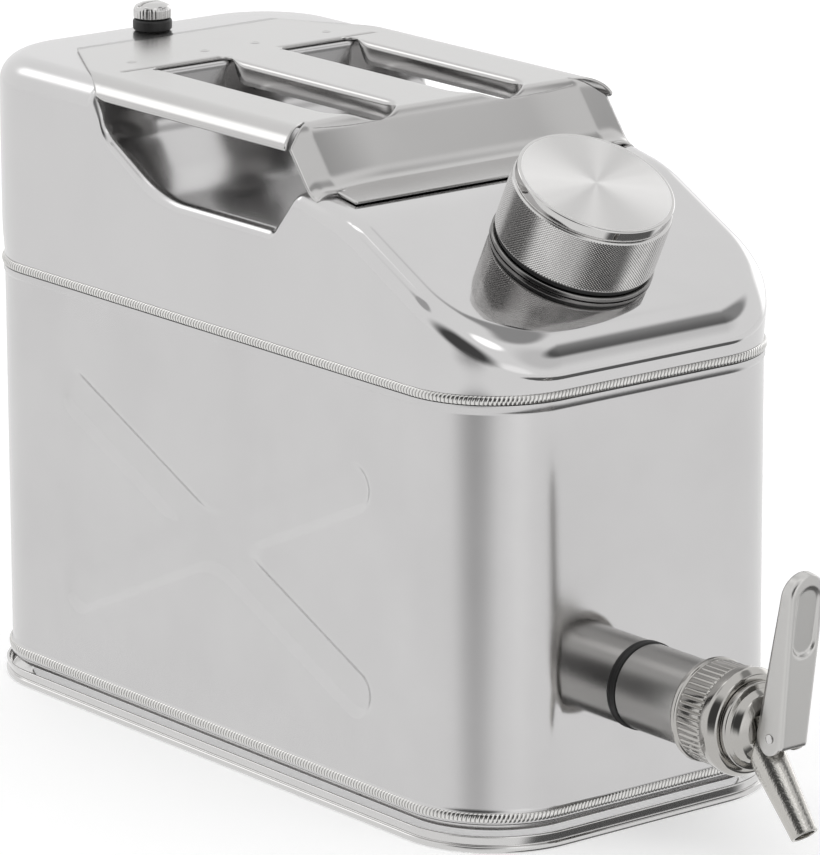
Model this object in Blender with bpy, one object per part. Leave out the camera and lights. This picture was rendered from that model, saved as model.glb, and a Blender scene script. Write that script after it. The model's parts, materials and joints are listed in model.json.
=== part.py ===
# Stainless dispensing canister: a welded can with a carrying plate, a screw cap, a vent screw and a
# lever tap. Metres, +Z up. The tap points along -Y, and the can stands on its foot band at Z = 0.
# The origin is the middle of the whole object's footprint box.

import math

import bmesh
import bpy
import numpy as np
from mathutils import Matrix, Vector

# Clearance between touching pieces
GAP = 0.0003

# Can body
HALF_WIDTH = 0.0825
HALF_LENGTH = 0.1692
CORNER_RADIUS = 0.0406
SHEET = 0.0010
CORNER_STEPS = 6

# Foot band and base pan
BAND_TOP = 0.0068
BAND_OUTSET = 0.0029
BAND_GRIP = 0.0018
BAND_SHEET = 0.0012
BAND_INSET = 0.0084
PAN_FLOOR = 0.0076
PAN_CORNER = 0.0032
PAN_TOP = 0.0129
BEAD_OUTSET = 0.0009

# Lower shell, with the pressed cross on each long side
SEAM_Z = 0.1772
LEDGE_HEIGHT = 0.0028
LEDGE_OUTSET = 0.0005
CROSS_Z = 0.0920
CROSS_REACH = 0.1090
CROSS_ANGLE = math.radians(24.2)
CROSS_HALF_WIDTH = 0.0080
CROSS_CROTCH = 0.0090
CROSS_DEPTH = 0.0026
CROSS_SIDE_RUN = 0.0050

# Upper shell: its centre line from the rear deck over the finger hollow to the sloped front
DECK_Z = 0.2657
HOLLOW_Z = 0.2265
HOLLOW_REAR_Y = 0.0775
HOLLOW_FRONT_Y = -0.0424
FRONT_LIP_Y = -0.0566
FRONT_LIP_Z = 0.2442
FRONT_LIP_FALL = math.radians(9.3)
SLOPE_Y = -0.0880
SLOPE_ANGLE = math.radians(26.5)
REAR_EDGE_RADIUS = 0.0120
HOLLOW_EDGE_RADIUS = 0.0045
LIP_EDGE_RADIUS = 0.0090
FRONT_EDGE_RADIUS = 0.0120
EDGE_STEPS = 4
WELD_HEIGHT = 0.0030
WELD_OUTSET = 0.0009

# Carrying plate
PLATE_LIFT = 0.0003
PLATE_REAR_Y = 0.1330
PLATE_REAR_HALF = HALF_WIDTH - 0.0325
PLATE_TAPER_Y = 0.0750
PLATE_FLAT_HALF = HALF_WIDTH - 0.0112
SLOT_INNER_X = 0.0135
SLOT_OUTER_X = HALF_WIDTH - 0.0315
SLOT_REAR_Y = 0.0800
SLOT_FRONT_Y = -0.0460
SLOT_CORNER = 0.0030
RIM_ROLL = 0.0025
RIM_DEPTH = 0.0090
RIM_REAR_Y = 0.0740
RIM_RUN_IN = 0.0120
RIM_RUN_OUT = 0.0200
RIM_STEPS = 2
BEND_Y = -0.0435
BEND_ANGLE = math.radians(52.0)
BEND_SOFTNESS = 0.0035
CREST_X = HALF_WIDTH - 0.0150
CREST_RISE = 0.0020
CREST_START = 0.6
EAR_FALL = 0.05
EAR_HALF = HALF_WIDTH - 0.0025
EAR_END_Y = -0.0672
SLIT_Y = -0.0415
SLIT_END_Y = -0.0505
SLIT_WIDTH = 0.0007
FOOT_LIP_Y = -0.0790
FOOT_LIP_HALF = HALF_WIDTH - 0.0125

# Filler neck and screw cap, on an axis square to the sloped front
FILLER_Y = -HALF_LENGTH + 0.0447
NECK_OUTER = 0.0260
NECK_WALL = 0.0025
NECK_HEIGHT = 0.0240
NECK_DEPTH = 0.0040
FLANGE_RADIUS = 0.0330
FLANGE_THICK = 0.0018
SEAL_HEIGHT = 0.0019
CAP_RADIUS = 0.0326
CAP_HEIGHT = 0.0330
CAP_BAND_HEIGHT = 0.0050
CAP_BAND_RADIUS = 0.0316
THREAD_PLAY = 0.0006
LINER_THICK = 0.0030

# Vent
VENT_Y = 0.1490
VENT_BORE = 0.0026
VENT_BOSS_RADIUS = 0.0045
VENT_BOSS_HEIGHT = 0.0045
VENT_RING_RADIUS = 0.0082
VENT_RING_HEIGHT = 0.0048
VENT_HEAD_RADIUS = 0.0079
VENT_HEAD_HEIGHT = 0.0069
VENT_SHANK_LENGTH = 0.0110
VENT_SLOT_WIDTH = 0.0016
VENT_SLOT_DEPTH = 0.0014

# Tap, measured along its axis from the can's front wall
TAP_Z = 0.0560
SOCKET_ROOT_RADIUS = 0.0260
SOCKET_RADIUS = 0.0174
SOCKET_LENGTH = 0.0034
SOCKET_TUBE_RADIUS = 0.0136
SOCKET_BORE = 0.0120
TUBE_INSIDE = 0.0032
WASHER_THICK = 0.0020
SLEEVE_RADIUS = 0.0172
SLEEVE_LENGTH = 0.0319
SLEEVE_BORE = 0.0080
THREAD_RADIUS = 0.0166
THREAD_LENGTH = 0.0126
NUT_LENGTH = 0.0252
NUT_FLUTES = 22
NUT_FLUTE_RADIUS = 0.0202
NUT_FLUTE_DEPTH = 0.0009
NUT_COLLAR_RADIUS = 0.0215
TAP_NECK_RADIUS = 0.0154
TAP_FLANGE_LENGTH = 0.0054
TAP_COLLAR_RADIUS = 0.0173
TAP_COLLAR_LENGTH = 0.0030
TAP_DOME_RADIUS = 0.0146
TAP_DOME_LENGTH = 0.0050
TAP_BORE = 0.0060
SEAT_RADIUS = 0.0036
SPIGOT_LENGTH = 0.0130
SPIGOT_LIP = 0.0015
SPOUT_TOP_RADIUS = 0.00775
SPOUT_TIP_RADIUS = 0.00535
SPOUT_BORE = 0.0040
SPOUT_TOP_SINK = 0.0055
SPOUT_FORWARD = 0.0270
SPOUT_DROP = 0.0330
STEM_RADIUS = 0.0018
STEM_PLAY = 0.0005
DISC_RADIUS = 0.0051
DISC_THICK = 0.0025
SPRING_WIRE = 0.0004
SPRING_RADIUS = 0.0042
SPRING_TURNS = 5

# Lever, turning on a pin in the tap's fork
PIN_REACH = 0.0085
PIN_DROP = 0.0005
PIN_RADIUS = 0.0015
PIN_PLAY = 0.0003
FORK_INNER = 0.0028
FORK_OUTER = 0.0050
FORK_ROUND = 0.0042
CAM_RADIUS = 0.0034
CAM_RISE = 0.0021
CAM_TRAVEL = math.radians(60.0)
CAM_HALF_WIDTH = 0.0025
LEVER_LEAN = math.radians(6.5)
LEVER_HEIGHT = 0.0676
LEVER_TOP_HALF = 0.0085
LEVER_FOOT_HALF = 0.0068
LEVER_FRONT = 0.0070
LEVER_WEB = 0.0020
LEVER_SIDE = 0.0012
LEVER_HEEL = 0.0072
LEVER_FOOT_DROP = 0.49
LEVER_WEB_FOOT = -0.0030
LEVER_TOP_DEPTH = 0.0050
THUMB_HALF_WIDTH = 0.0060
THUMB_LENGTH = 0.0360
THUMB_TOP_MARGIN = 0.0045
THUMB_DEPTH = 0.0012


def clear_scene():
    for obj in list(bpy.data.objects):
        bpy.data.objects.remove(obj, do_unlink=True)


def make_material(name, color, roughness, metallic):
    mat = bpy.data.materials.new(name)
    mat.use_nodes = True
    shader = mat.node_tree.nodes["Principled BSDF"]
    shader.inputs["Base Color"].default_value = (*color, 1.0)
    shader.inputs["Roughness"].default_value = roughness
    shader.inputs["Metallic"].default_value = metallic
    mat.diffuse_color = (*color, 1.0)
    return mat


def add_empty(name, parent=None, location=(0, 0, 0), tilt=0.0):
    obj = bpy.data.objects.new(name, None)
    bpy.context.scene.collection.objects.link(obj)
    obj.parent = parent
    obj.location = location
    obj.rotation_euler = (tilt, 0, 0)
    return obj


# A closed mesh becomes an object; bmesh turns its faces outward first.
def add_object(name, bm, mat, parent=None, location=(0, 0, 0), tilt=0.0, smooth_angle=35.0):
    bmesh.ops.recalc_face_normals(bm, faces=bm.faces)
    mesh = bpy.data.meshes.new(name)
    bm.to_mesh(mesh)
    bm.free()
    if mat is not None:
        mesh.materials.append(mat)
    mesh.shade_smooth()
    mesh.set_sharp_from_angle(angle=math.radians(smooth_angle))
    obj = bpy.data.objects.new(name, mesh)
    bpy.context.scene.collection.objects.link(obj)
    obj.parent = parent
    obj.location = location
    obj.rotation_euler = (tilt, 0, 0)
    return obj


# A cutter, or a shape that is joined to another, stays in the file as a wire guide.
def combine(obj, other, operation="DIFFERENCE"):
    other.hide_render = True
    other.display_type = "WIRE"
    mod = obj.modifiers.new(other.name, "BOOLEAN")
    mod.operation = operation
    mod.solver = "EXACT"
    mod.object = other


# Turns (radius, height) points about local Z. A closed section makes a ring; a solid's outline
# starts and ends on the axis.
def lathe(outline, steps=28):
    bm = bmesh.new()
    verts = [bm.verts.new((r, 0, h)) for r, h in outline]
    pairs = list(zip(verts, verts[1:]))
    if outline[0][0] > 0:
        pairs.append((verts[-1], verts[0]))
    edges = [bm.edges.new(pair) for pair in pairs]
    bmesh.ops.spin(
        bm,
        geom=verts + edges,
        cent=(0, 0, 0),
        axis=(0, 0, 1),
        angle=math.tau,
        steps=steps,
        use_merge=True,
    )
    bmesh.ops.remove_doubles(bm, verts=bm.verts, dist=1e-7)
    return bm


def rod(radius, start, end, steps=24):
    return lathe([(0, start), (radius, start), (radius, end), (0, end)], steps)


# Extrudes a closed outline from one place to another along X; the outline's points are (y, z).
def slab(outline, x_from, x_to):
    bm = bmesh.new()
    face = bm.faces.new([bm.verts.new((x_from, y, z)) for y, z in outline])
    grown = bmesh.ops.extrude_face_region(bm, geom=[face])
    moved = [item for item in grown["geom"] if isinstance(item, bmesh.types.BMVert)]
    bmesh.ops.translate(bm, verts=moved, vec=(x_to - x_from, 0, 0))
    return bm


def arc(center, radius, start, end, steps):
    points = []
    for i in range(steps + 1):
        angle = start + (end - start) * i / steps
        points.append((center[0] + radius * math.cos(angle), center[1] + radius * math.sin(angle)))
    return points


# Rounds the inner corners of an open line. Each corner is (y, z, radius, steps).
def rounded_line(corners):
    points = [corners[0][:2]]
    for before, corner, after in zip(corners, corners[1:], corners[2:]):
        here = Vector(corner[:2])
        back = (Vector(before[:2]) - here).normalized()
        ahead = (Vector(after[:2]) - here).normalized()
        half = back.angle(ahead) / 2
        reach = corner[2] / math.tan(half)
        center = here + (back + ahead).normalized() * corner[2] / math.sin(half)
        start = here + back * reach - center
        swing = math.pi - 2 * half
        turn = 1 if back.x * ahead.y - back.y * ahead.x < 0 else -1
        for i in range(corner[3] + 1):
            angle = turn * swing * i / corner[3]
            spoke = Matrix.Rotation(angle, 2) @ start
            points.append((center.x + spoke.x, center.y + spoke.y))
    points.append(corners[-1][:2])
    return points


def offset_line(points, distance):
    line = np.array(points)
    run = np.gradient(line, axis=0)
    run /= np.linalg.norm(run, axis=1)[:, None]
    return [tuple(p) for p in line + distance * np.column_stack((run[:, 1], -run[:, 0]))]


def height_on(line, y):
    ordered = sorted(line)
    return float(np.interp(y, [p[0] for p in ordered], [p[1] for p in ordered]))


# The right half of the can's footprint from rear to front, as (x, y, normal x, normal y).
def footprint_half(outset=0.0, stations=()):
    hx = HALF_WIDTH - CORNER_RADIUS
    hy = HALF_LENGTH - CORNER_RADIUS
    radius = CORNER_RADIUS + outset
    half = []
    for i in range(CORNER_STEPS + 1):
        angle = math.pi / 2 * (1 - i / CORNER_STEPS)
        nx, ny = math.cos(angle), math.sin(angle)
        half.append((hx + radius * nx, hy + radius * ny, nx, ny))
    half.extend((HALF_WIDTH + outset, y, 1.0, 0.0) for y in stations)
    for i in range(CORNER_STEPS + 1):
        angle = -math.pi / 2 * i / CORNER_STEPS
        nx, ny = math.cos(angle), math.sin(angle)
        half.append((hx + radius * nx, -hy + radius * ny, nx, ny))
    return half


# A closed ring of vertices: the right half from rear to front, then the left half back again.
def mirrored_ring(bm, points):
    right = [bm.verts.new(p) for p in points]
    left = [bm.verts.new((-p[0], p[1], p[2])) for p in points]
    return right + left[::-1]


def level_ring(bm, outset, z):
    return mirrored_ring(bm, [(x, y, z) for x, y, _, _ in footprint_half(outset)])


def bridge(bm, ring_a, ring_b):
    count = len(ring_a)
    for i in range(count):
        j = (i + 1) % count
        bm.faces.new((ring_a[i], ring_a[j], ring_b[j], ring_b[i]))


def bridge_all(bm, rings):
    for ring_a, ring_b in zip(rings, rings[1:]):
        bridge(bm, ring_a, ring_b)


# Sweeps a closed (outset, z) section round the footprint.
def footprint_sweep(section):
    bm = bmesh.new()
    rings = [level_ring(bm, outset, z) for outset, z in section]
    bridge_all(bm, rings + rings[:1])
    return bm


def make_foot_band(mat, parent):
    grip = BAND_OUTSET - BAND_GRIP + 0.0007
    section = [
        (BAND_OUTSET - 0.0014, 0),
        (BAND_OUTSET - 0.0004, 0.0004),
        (BAND_OUTSET, 0.0014),
        (BAND_OUTSET, BAND_TOP),
        (grip, BAND_TOP),
        (grip, BAND_SHEET + 0.0006),
        (grip - 0.0006, BAND_SHEET),
        (BAND_SHEET - BAND_INSET, BAND_SHEET),
        (BAND_SHEET - BAND_INSET, PAN_FLOOR - GAP),
        (-BAND_INSET, PAN_FLOOR - GAP),
        (-BAND_INSET, 0),
    ]
    return add_object("foot_band", footprint_sweep(section), mat, parent)


def make_base_pan(mat, parent):
    bm = bmesh.new()
    bead_low = PAN_FLOOR + PAN_CORNER + 0.0002
    outer = [level_ring(bm, BEAD_OUTSET, PAN_TOP), level_ring(bm, BEAD_OUTSET, bead_low + 0.0006)]
    outer.append(level_ring(bm, 0, bead_low))
    inner = [level_ring(bm, -SHEET, PAN_TOP)]
    for i in range(EDGE_STEPS + 1):
        angle = math.pi / 2 * i / EDGE_STEPS
        side, fall = 1 - math.cos(angle), 1 - math.sin(angle)
        outer.append(level_ring(bm, -PAN_CORNER * side, PAN_FLOOR + PAN_CORNER * fall))
        inside = PAN_CORNER - SHEET
        inner.append(level_ring(bm, -SHEET - inside * side, PAN_FLOOR + SHEET + inside * fall))
    bridge_all(bm, outer)
    bridge_all(bm, inner)
    bridge(bm, outer[0], inner[0])
    bm.faces.new(outer[-1])
    bm.faces.new(inner[-1])
    return add_object("base_pan", bm, mat, parent)


# The cross's outline on a long side, grown or shrunk by a step on every side.
def cross_outline(grow):
    half_width = CROSS_HALF_WIDTH + grow
    crotch = CROSS_CROTCH - grow
    tip = CROSS_REACH - CROSS_HALF_WIDTH
    arms = [CROSS_ANGLE, math.pi - CROSS_ANGLE, math.pi + CROSS_ANGLE, math.tau - CROSS_ANGLE]
    points = []
    for arm, following in zip(arms, arms[1:] + [arms[0] + math.tau]):
        end = (tip * math.cos(arm), tip * math.sin(arm))
        points += arc(end, half_width, arm - math.pi / 2, arm + math.pi / 2, 6)
        half = (following - arm) / 2
        bisector = arm + half
        away = (half_width + crotch) / math.sin(half)
        center = (away * math.cos(bisector), away * math.sin(bisector))
        start = arm - math.pi / 2
        points += arc(center, crotch, start, start - (math.pi - 2 * half), 4)
    return [(y, z + CROSS_Z) for y, z in points]


# A cutter for the pressed cross on one side, sunk deeper for the wall's inner face.
def make_cross_cutter(name, side, sink):
    levels = [
        (HALF_WIDTH + 0.0040, CROSS_SIDE_RUN * 0.6),
        (HALF_WIDTH - sink, CROSS_SIDE_RUN * 0.6),
        (HALF_WIDTH - sink - CROSS_DEPTH * 0.5, CROSS_SIDE_RUN * 0.1),
        (HALF_WIDTH - sink - CROSS_DEPTH, -CROSS_SIDE_RUN * 0.4),
    ]
    bm = bmesh.new()
    rings = []
    for x, grow in levels:
        rings.append([bm.verts.new((side * x, y, z)) for y, z in cross_outline(grow)])
    bridge_all(bm, rings)
    bm.faces.new(rings[0])
    bm.faces.new(rings[-1])
    return add_object(name, bm, None)


def make_lower_shell(mat, parent, tap_axis):
    bottom = PAN_TOP + GAP
    levels = [
        (BEAD_OUTSET, bottom),
        (BEAD_OUTSET, bottom + 0.0018),
        (0, bottom + 0.0026),
        (0, SEAM_Z - LEDGE_HEIGHT),
        (LEDGE_OUTSET, SEAM_Z - LEDGE_HEIGHT + 0.0002),
        (LEDGE_OUTSET, SEAM_Z),
    ]
    bm = bmesh.new()
    rings = [level_ring(bm, outset, z) for outset, z in levels]
    bridge_all(bm, rings)
    bm.faces.new(rings[0])
    bm.faces.new(rings[-1])
    shell = add_object("lower_shell", bm, mat, parent)

    bm = bmesh.new()
    reach = 0.0050
    rings = [level_ring(bm, -SHEET, bottom - reach), level_ring(bm, -SHEET, SEAM_Z + reach)]
    bridge_all(bm, rings)
    bm.faces.new(rings[0])
    bm.faces.new(rings[-1])
    cavity = add_object("lower_cavity_guide", bm, None, parent)

    for side, word in ((1, "right"), (-1, "left")):
        outer_cut = make_cross_cutter("cross_cut_" + word, side, 0.0)
        outer_cut.parent = parent
        combine(shell, outer_cut)
        inner_cut = make_cross_cutter("cross_back_" + word, side, SHEET)
        inner_cut.parent = parent
        combine(cavity, inner_cut)
    combine(shell, cavity)
    radius = SOCKET_TUBE_RADIUS + GAP
    hole = add_object("socket_hole_guide", rod(radius, -0.01, 0.01, 36), None, tap_axis)
    combine(shell, hole)
    return shell


# The upper shell's centre line, from the rear over the finger hollow to the front wall
def top_line():
    rear_foot_y = HOLLOW_REAR_Y - 0.0095
    rear_foot_z = HOLLOW_Z + (DECK_Z - HOLLOW_Z) * 0.49
    return rounded_line(
        [
            (HALF_LENGTH, DECK_Z, 0, 1),
            (HOLLOW_REAR_Y, DECK_Z, 0.0030, 3),
            (rear_foot_y, rear_foot_z, 0.0150, 3),
            (rear_foot_y - 0.0350, HOLLOW_Z, 0.0600, 4),
            (HOLLOW_FRONT_Y, HOLLOW_Z, 0.0060, 3),
            (FRONT_LIP_Y, FRONT_LIP_Z, 0.0050, 4),
            (SLOPE_Y, slope_start_z(), 0.0500, 3),
            (-HALF_LENGTH, slope_z(-HALF_LENGTH), 0, 1),
        ]
    )


def slope_start_z():
    return FRONT_LIP_Z + (SLOPE_Y - FRONT_LIP_Y) * math.tan(FRONT_LIP_FALL)


def slope_z(y):
    return slope_start_z() + (y - SLOPE_Y) * math.tan(SLOPE_ANGLE)


# How round the shell's upper edge is, from the front wall to the rear one
def edge_radius(y):
    places = [-HALF_LENGTH, SLOPE_Y - 0.06, SLOPE_Y, FRONT_LIP_Y, HOLLOW_FRONT_Y]
    places += [HOLLOW_REAR_Y - 0.006, HOLLOW_REAR_Y + 0.0025]
    radii = [FRONT_EDGE_RADIUS, LIP_EDGE_RADIUS, LIP_EDGE_RADIUS, LIP_EDGE_RADIUS]
    radii += [HOLLOW_EDGE_RADIUS, HOLLOW_EDGE_RADIUS, REAR_EDGE_RADIUS]
    return float(np.interp(y, places, radii))


# The domed top of one skin, the outer one or the inner one, with its vertical wall below
def top_skin(bm, line, outset, low_ring):
    inner_points = line[1:-1]
    half = footprint_half(outset, [p[0] for p in inner_points])
    rings = []
    for i in range(EDGE_STEPS + 1):
        angle = math.pi / 2 * i / EDGE_STEPS
        points = []
        for x, y, nx, ny in half:
            radius = edge_radius(y) + outset
            sink = radius * (1 - math.cos(angle))
            px, py = x - nx * sink, y - ny * sink
            points.append((px, py, height_on(line, py) - radius * (1 - math.sin(angle))))
        rings.append(mirrored_ring(bm, points))
    bridge_all(bm, rings)

    count = len(half)
    crown = rings[-1]
    for i in range(count - 1):
        bm.faces.new((crown[i], crown[i + 1], crown[-2 - i], crown[-1 - i]))

    # The plain wall below the rounded edge; each long side is one flat face.
    first = rings[0]
    corner = CORNER_STEPS + 1
    low_count = len(low_ring)
    added = count - 2 * corner
    pick = list(range(corner)) + list(range(corner + added, 2 * count - corner - added))
    pick += list(range(2 * count - corner, 2 * count))
    for i in range(low_count):
        j = (i + 1) % low_count
        start, stop = pick[i], pick[j]
        if stop - start > 1:
            upper = first[start : stop + 1]
        else:
            upper = [first[start], first[stop]]
        bm.faces.new([low_ring[j], low_ring[i]] + upper)


def make_upper_shell(mat, parent, filler_axis):
    bottom = SEAM_Z + GAP
    line = top_line()
    bm = bmesh.new()
    outer = [
        level_ring(bm, WELD_OUTSET, bottom),
        level_ring(bm, WELD_OUTSET, bottom + WELD_HEIGHT - 0.0005),
        level_ring(bm, 0, bottom + WELD_HEIGHT),
    ]
    bridge_all(bm, outer)
    top_skin(bm, line, 0.0, outer[-1])
    inner = level_ring(bm, -SHEET, bottom)
    inner_line = offset_line(line, -SHEET)
    top_skin(bm, inner_line, -SHEET, inner)
    bridge(bm, outer[0], inner)
    shell = add_object("upper_shell", bm, mat, parent)

    neck_hole = add_object("neck_hole_guide", rod(NECK_OUTER + GAP, -0.02, 0.02, 36), None, filler_axis)
    combine(shell, neck_hole)
    boss_hole = rod(VENT_BOSS_RADIUS + GAP, -0.01, 0.01)
    boss_hole = add_object("boss_hole_guide", boss_hole, None, parent, (0, VENT_Y, DECK_Z))
    combine(shell, boss_hole)
    return shell


def soft_min(a, b, softness):
    blend = max(softness - abs(a - b), 0.0) / softness
    return min(a, b) - blend * blend * softness / 4


def soft_max(a, b, softness):
    return -soft_min(-a, -b, softness)


# Height of the shell's front shoulder, with its rounded side edge, carried on past the hollow
def shoulder_height(x, y):
    z = FRONT_LIP_Z + (y - FRONT_LIP_Y) * math.tan(FRONT_LIP_FALL)
    short = max(LIP_EDGE_RADIUS - (HALF_WIDTH - abs(x)), 0.0)
    return z - LIP_EDGE_RADIUS + math.sqrt(LIP_EDGE_RADIUS**2 - short**2)


# Height of the carrying plate's upper face over a point of its plan
def plate_height(x, y, behind_slit):
    top = DECK_Z + PLATE_LIFT + SHEET
    side = abs(x)
    if behind_slit:
        roll = REAR_EDGE_RADIUS + PLATE_LIFT + SHEET
        reach = min(max(side - PLATE_FLAT_HALF, 0.0), roll)
        return top - roll + math.sqrt(roll * roll - reach * reach)
    share = (side / CREST_X - CREST_START) / (1 - CREST_START)
    rise = CREST_RISE * min(max(share, 0.0), 1.0) ** 2
    if side > CREST_X:
        rise -= EAR_FALL * (side - CREST_X)
    flange = top - (BEND_Y - y) * math.tan(BEND_ANGLE) + rise
    rest = shoulder_height(x, y) + (SHEET + PLATE_LIFT) * 1.25
    flange = soft_max(flange, rest, BEND_SOFTNESS)
    return soft_min(top, flange, BEND_SOFTNESS)


# The plate's plan on the right: rear edge, tapered side, bar, slit, ear and foot lip
def plate_outline_half():
    return [
        (PLATE_REAR_HALF, PLATE_REAR_Y),
        (HALF_WIDTH, PLATE_TAPER_Y),
        (HALF_WIDTH, SLIT_END_Y),
        (CREST_X - 0.0010, SLIT_Y),
        (EAR_HALF + 0.0005, SLIT_END_Y - SLIT_WIDTH + 0.0014),
        (EAR_HALF, EAR_END_Y),
        (EAR_HALF - 0.0035, EAR_END_Y + 0.0015),
        (FOOT_LIP_HALF - 0.0005, EAR_END_Y + 0.0012),
        (FOOT_LIP_HALF, FOOT_LIP_Y),
    ]


def slot_outline(side):
    radius = (SLOT_OUTER_X - SLOT_INNER_X) / 2
    middle = SLOT_INNER_X + radius
    corner = SLOT_CORNER
    points = arc((SLOT_OUTER_X - corner, SLOT_REAR_Y - corner), corner, 0, math.pi / 2, 3)
    points += arc((SLOT_INNER_X + corner, SLOT_REAR_Y - corner), corner, math.pi / 2, math.pi, 3)
    points += arc((middle, SLOT_FRONT_Y + radius), radius, math.pi, math.tau, 10)
    return [(side * x, y) for x, y in points]


# How far the slot's rim is rolled down at a place: none at the rear, little round the front
def rim_fade(y):
    start = min(max((RIM_REAR_Y - y) / RIM_RUN_IN, 0.0), 1.0)
    front = min(max((y - SLOT_FRONT_Y) / RIM_RUN_OUT, 0.0), 1.0)
    return start * (0.25 + 0.75 * front)


def add_rim(bm, side):
    middle = side * (SLOT_INNER_X + SLOT_OUTER_X) / 2
    edges = []
    for edge in bm.edges:
        center = (edge.verts[0].co + edge.verts[1].co) / 2
        in_slot = abs(center.x - middle) < (SLOT_OUTER_X - SLOT_INNER_X) / 2 + 0.001
        if edge.is_boundary and in_slot and SLOT_FRONT_Y - 0.001 < center.y < SLOT_REAR_Y + 0.001:
            edges.append(edge)
    front_middle = SLOT_FRONT_Y + (SLOT_OUTER_X - SLOT_INNER_X) / 2
    rows = {}

    def rim_row(vert):
        if vert in rows:
            return rows[vert]
        fade = rim_fade(vert.co.y)
        chain = [vert]
        if fade > 0:
            inward = Vector((middle - vert.co.x, max(front_middle - vert.co.y, 0.0), 0)).normalized()
            roll = RIM_ROLL * fade
            for i in range(1, RIM_STEPS + 1):
                angle = math.pi / 2 * i / RIM_STEPS
                step = inward * roll * math.sin(angle) - Vector((0, 0, roll * (1 - math.cos(angle))))
                chain.append(bm.verts.new(vert.co + step))
            chain.append(bm.verts.new(chain[-1].co - Vector((0, 0, (RIM_DEPTH - RIM_ROLL) * fade))))
        rows[vert] = chain
        return chain

    for edge in edges:
        first, second = rim_row(edge.verts[0]), rim_row(edge.verts[1])
        if len(first) == 1 and len(second) == 1:
            continue
        for i in range(RIM_STEPS + 1):
            corners = [first[min(i, len(first) - 1)], second[min(i, len(second) - 1)]]
            corners += [second[min(i + 1, len(second) - 1)], first[min(i + 1, len(first) - 1)]]
            unique = [v for k, v in enumerate(corners) if v is not corners[k - 1]]
            bm.faces.new(unique)


def make_handle_plate(mat, parent):
    bm = bmesh.new()
    half = plate_outline_half()
    outline = half + [(-x, y) for x, y in reversed(half)]
    loops = [outline, slot_outline(1), slot_outline(-1)]
    for loop in loops:
        verts = [bm.verts.new((x, y, 0)) for x, y in loop]
        for a, b in zip(verts, verts[1:] + verts[:1]):
            bm.edges.new((a, b))
    bmesh.ops.triangle_fill(bm, edges=bm.edges[:], use_beauty=True, normal=(0, 0, 1))

    # Fold lines: across the bend and the foot lip, and along the rolled sides
    bend_span = BEND_Y - FOOT_LIP_Y
    places = [PLATE_TAPER_Y, RIM_REAR_Y, RIM_REAR_Y - RIM_RUN_IN, SLOT_FRONT_Y + RIM_RUN_OUT]
    places += [BEND_Y + BEND_SOFTNESS - bend_span * i / 8 for i in range(8)]
    lines = [(Vector((0, y, 0)), Vector((0, 1, 0))) for y in places]
    rolled = HALF_WIDTH - PLATE_FLAT_HALF
    for side in (-1, 1):
        for i in range(3):
            lines.append((Vector((side * (PLATE_FLAT_HALF + rolled * i / 3), 0, 0)), Vector((1, 0, 0))))
        for share in (0.8, 1.0):
            lines.append((Vector((side * CREST_X * share, 0, 0)), Vector((1, 0, 0))))
    for place, normal in lines:
        geom = bm.verts[:] + bm.edges[:] + bm.faces[:]
        bmesh.ops.bisect_plane(bm, geom=geom, plane_co=place, plane_no=normal, dist=1e-6)

    slit_run = (SLIT_END_Y - SLIT_Y) / (HALF_WIDTH - CREST_X + 0.0010)
    for vert in bm.verts:
        beyond = max(abs(vert.co.x) - CREST_X + 0.0010, 0.0)
        border = SLIT_Y + slit_run * beyond
        behind = beyond > 0 and vert.co.y > border - 1e-5
        vert.co.z = plate_height(vert.co.x, vert.co.y, behind)
    bmesh.ops.triangulate(bm, faces=bm.faces)
    for side in (1, -1):
        add_rim(bm, side)
    bmesh.ops.recalc_face_normals(bm, faces=bm.faces)
    if sum(face.normal.z for face in bm.faces) < 0:
        bmesh.ops.reverse_faces(bm, faces=bm.faces)

    mesh = bpy.data.meshes.new("handle_plate")
    bm.to_mesh(mesh)
    bm.free()
    mesh.materials.append(mat)
    mesh.shade_smooth()
    plate = bpy.data.objects.new("handle_plate", mesh)
    bpy.context.scene.collection.objects.link(plate)
    plate.parent = parent
    solid = plate.modifiers.new("sheet", "SOLIDIFY")
    solid.thickness = SHEET
    solid.offset = -1
    solid.use_even_offset = True
    return plate


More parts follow.
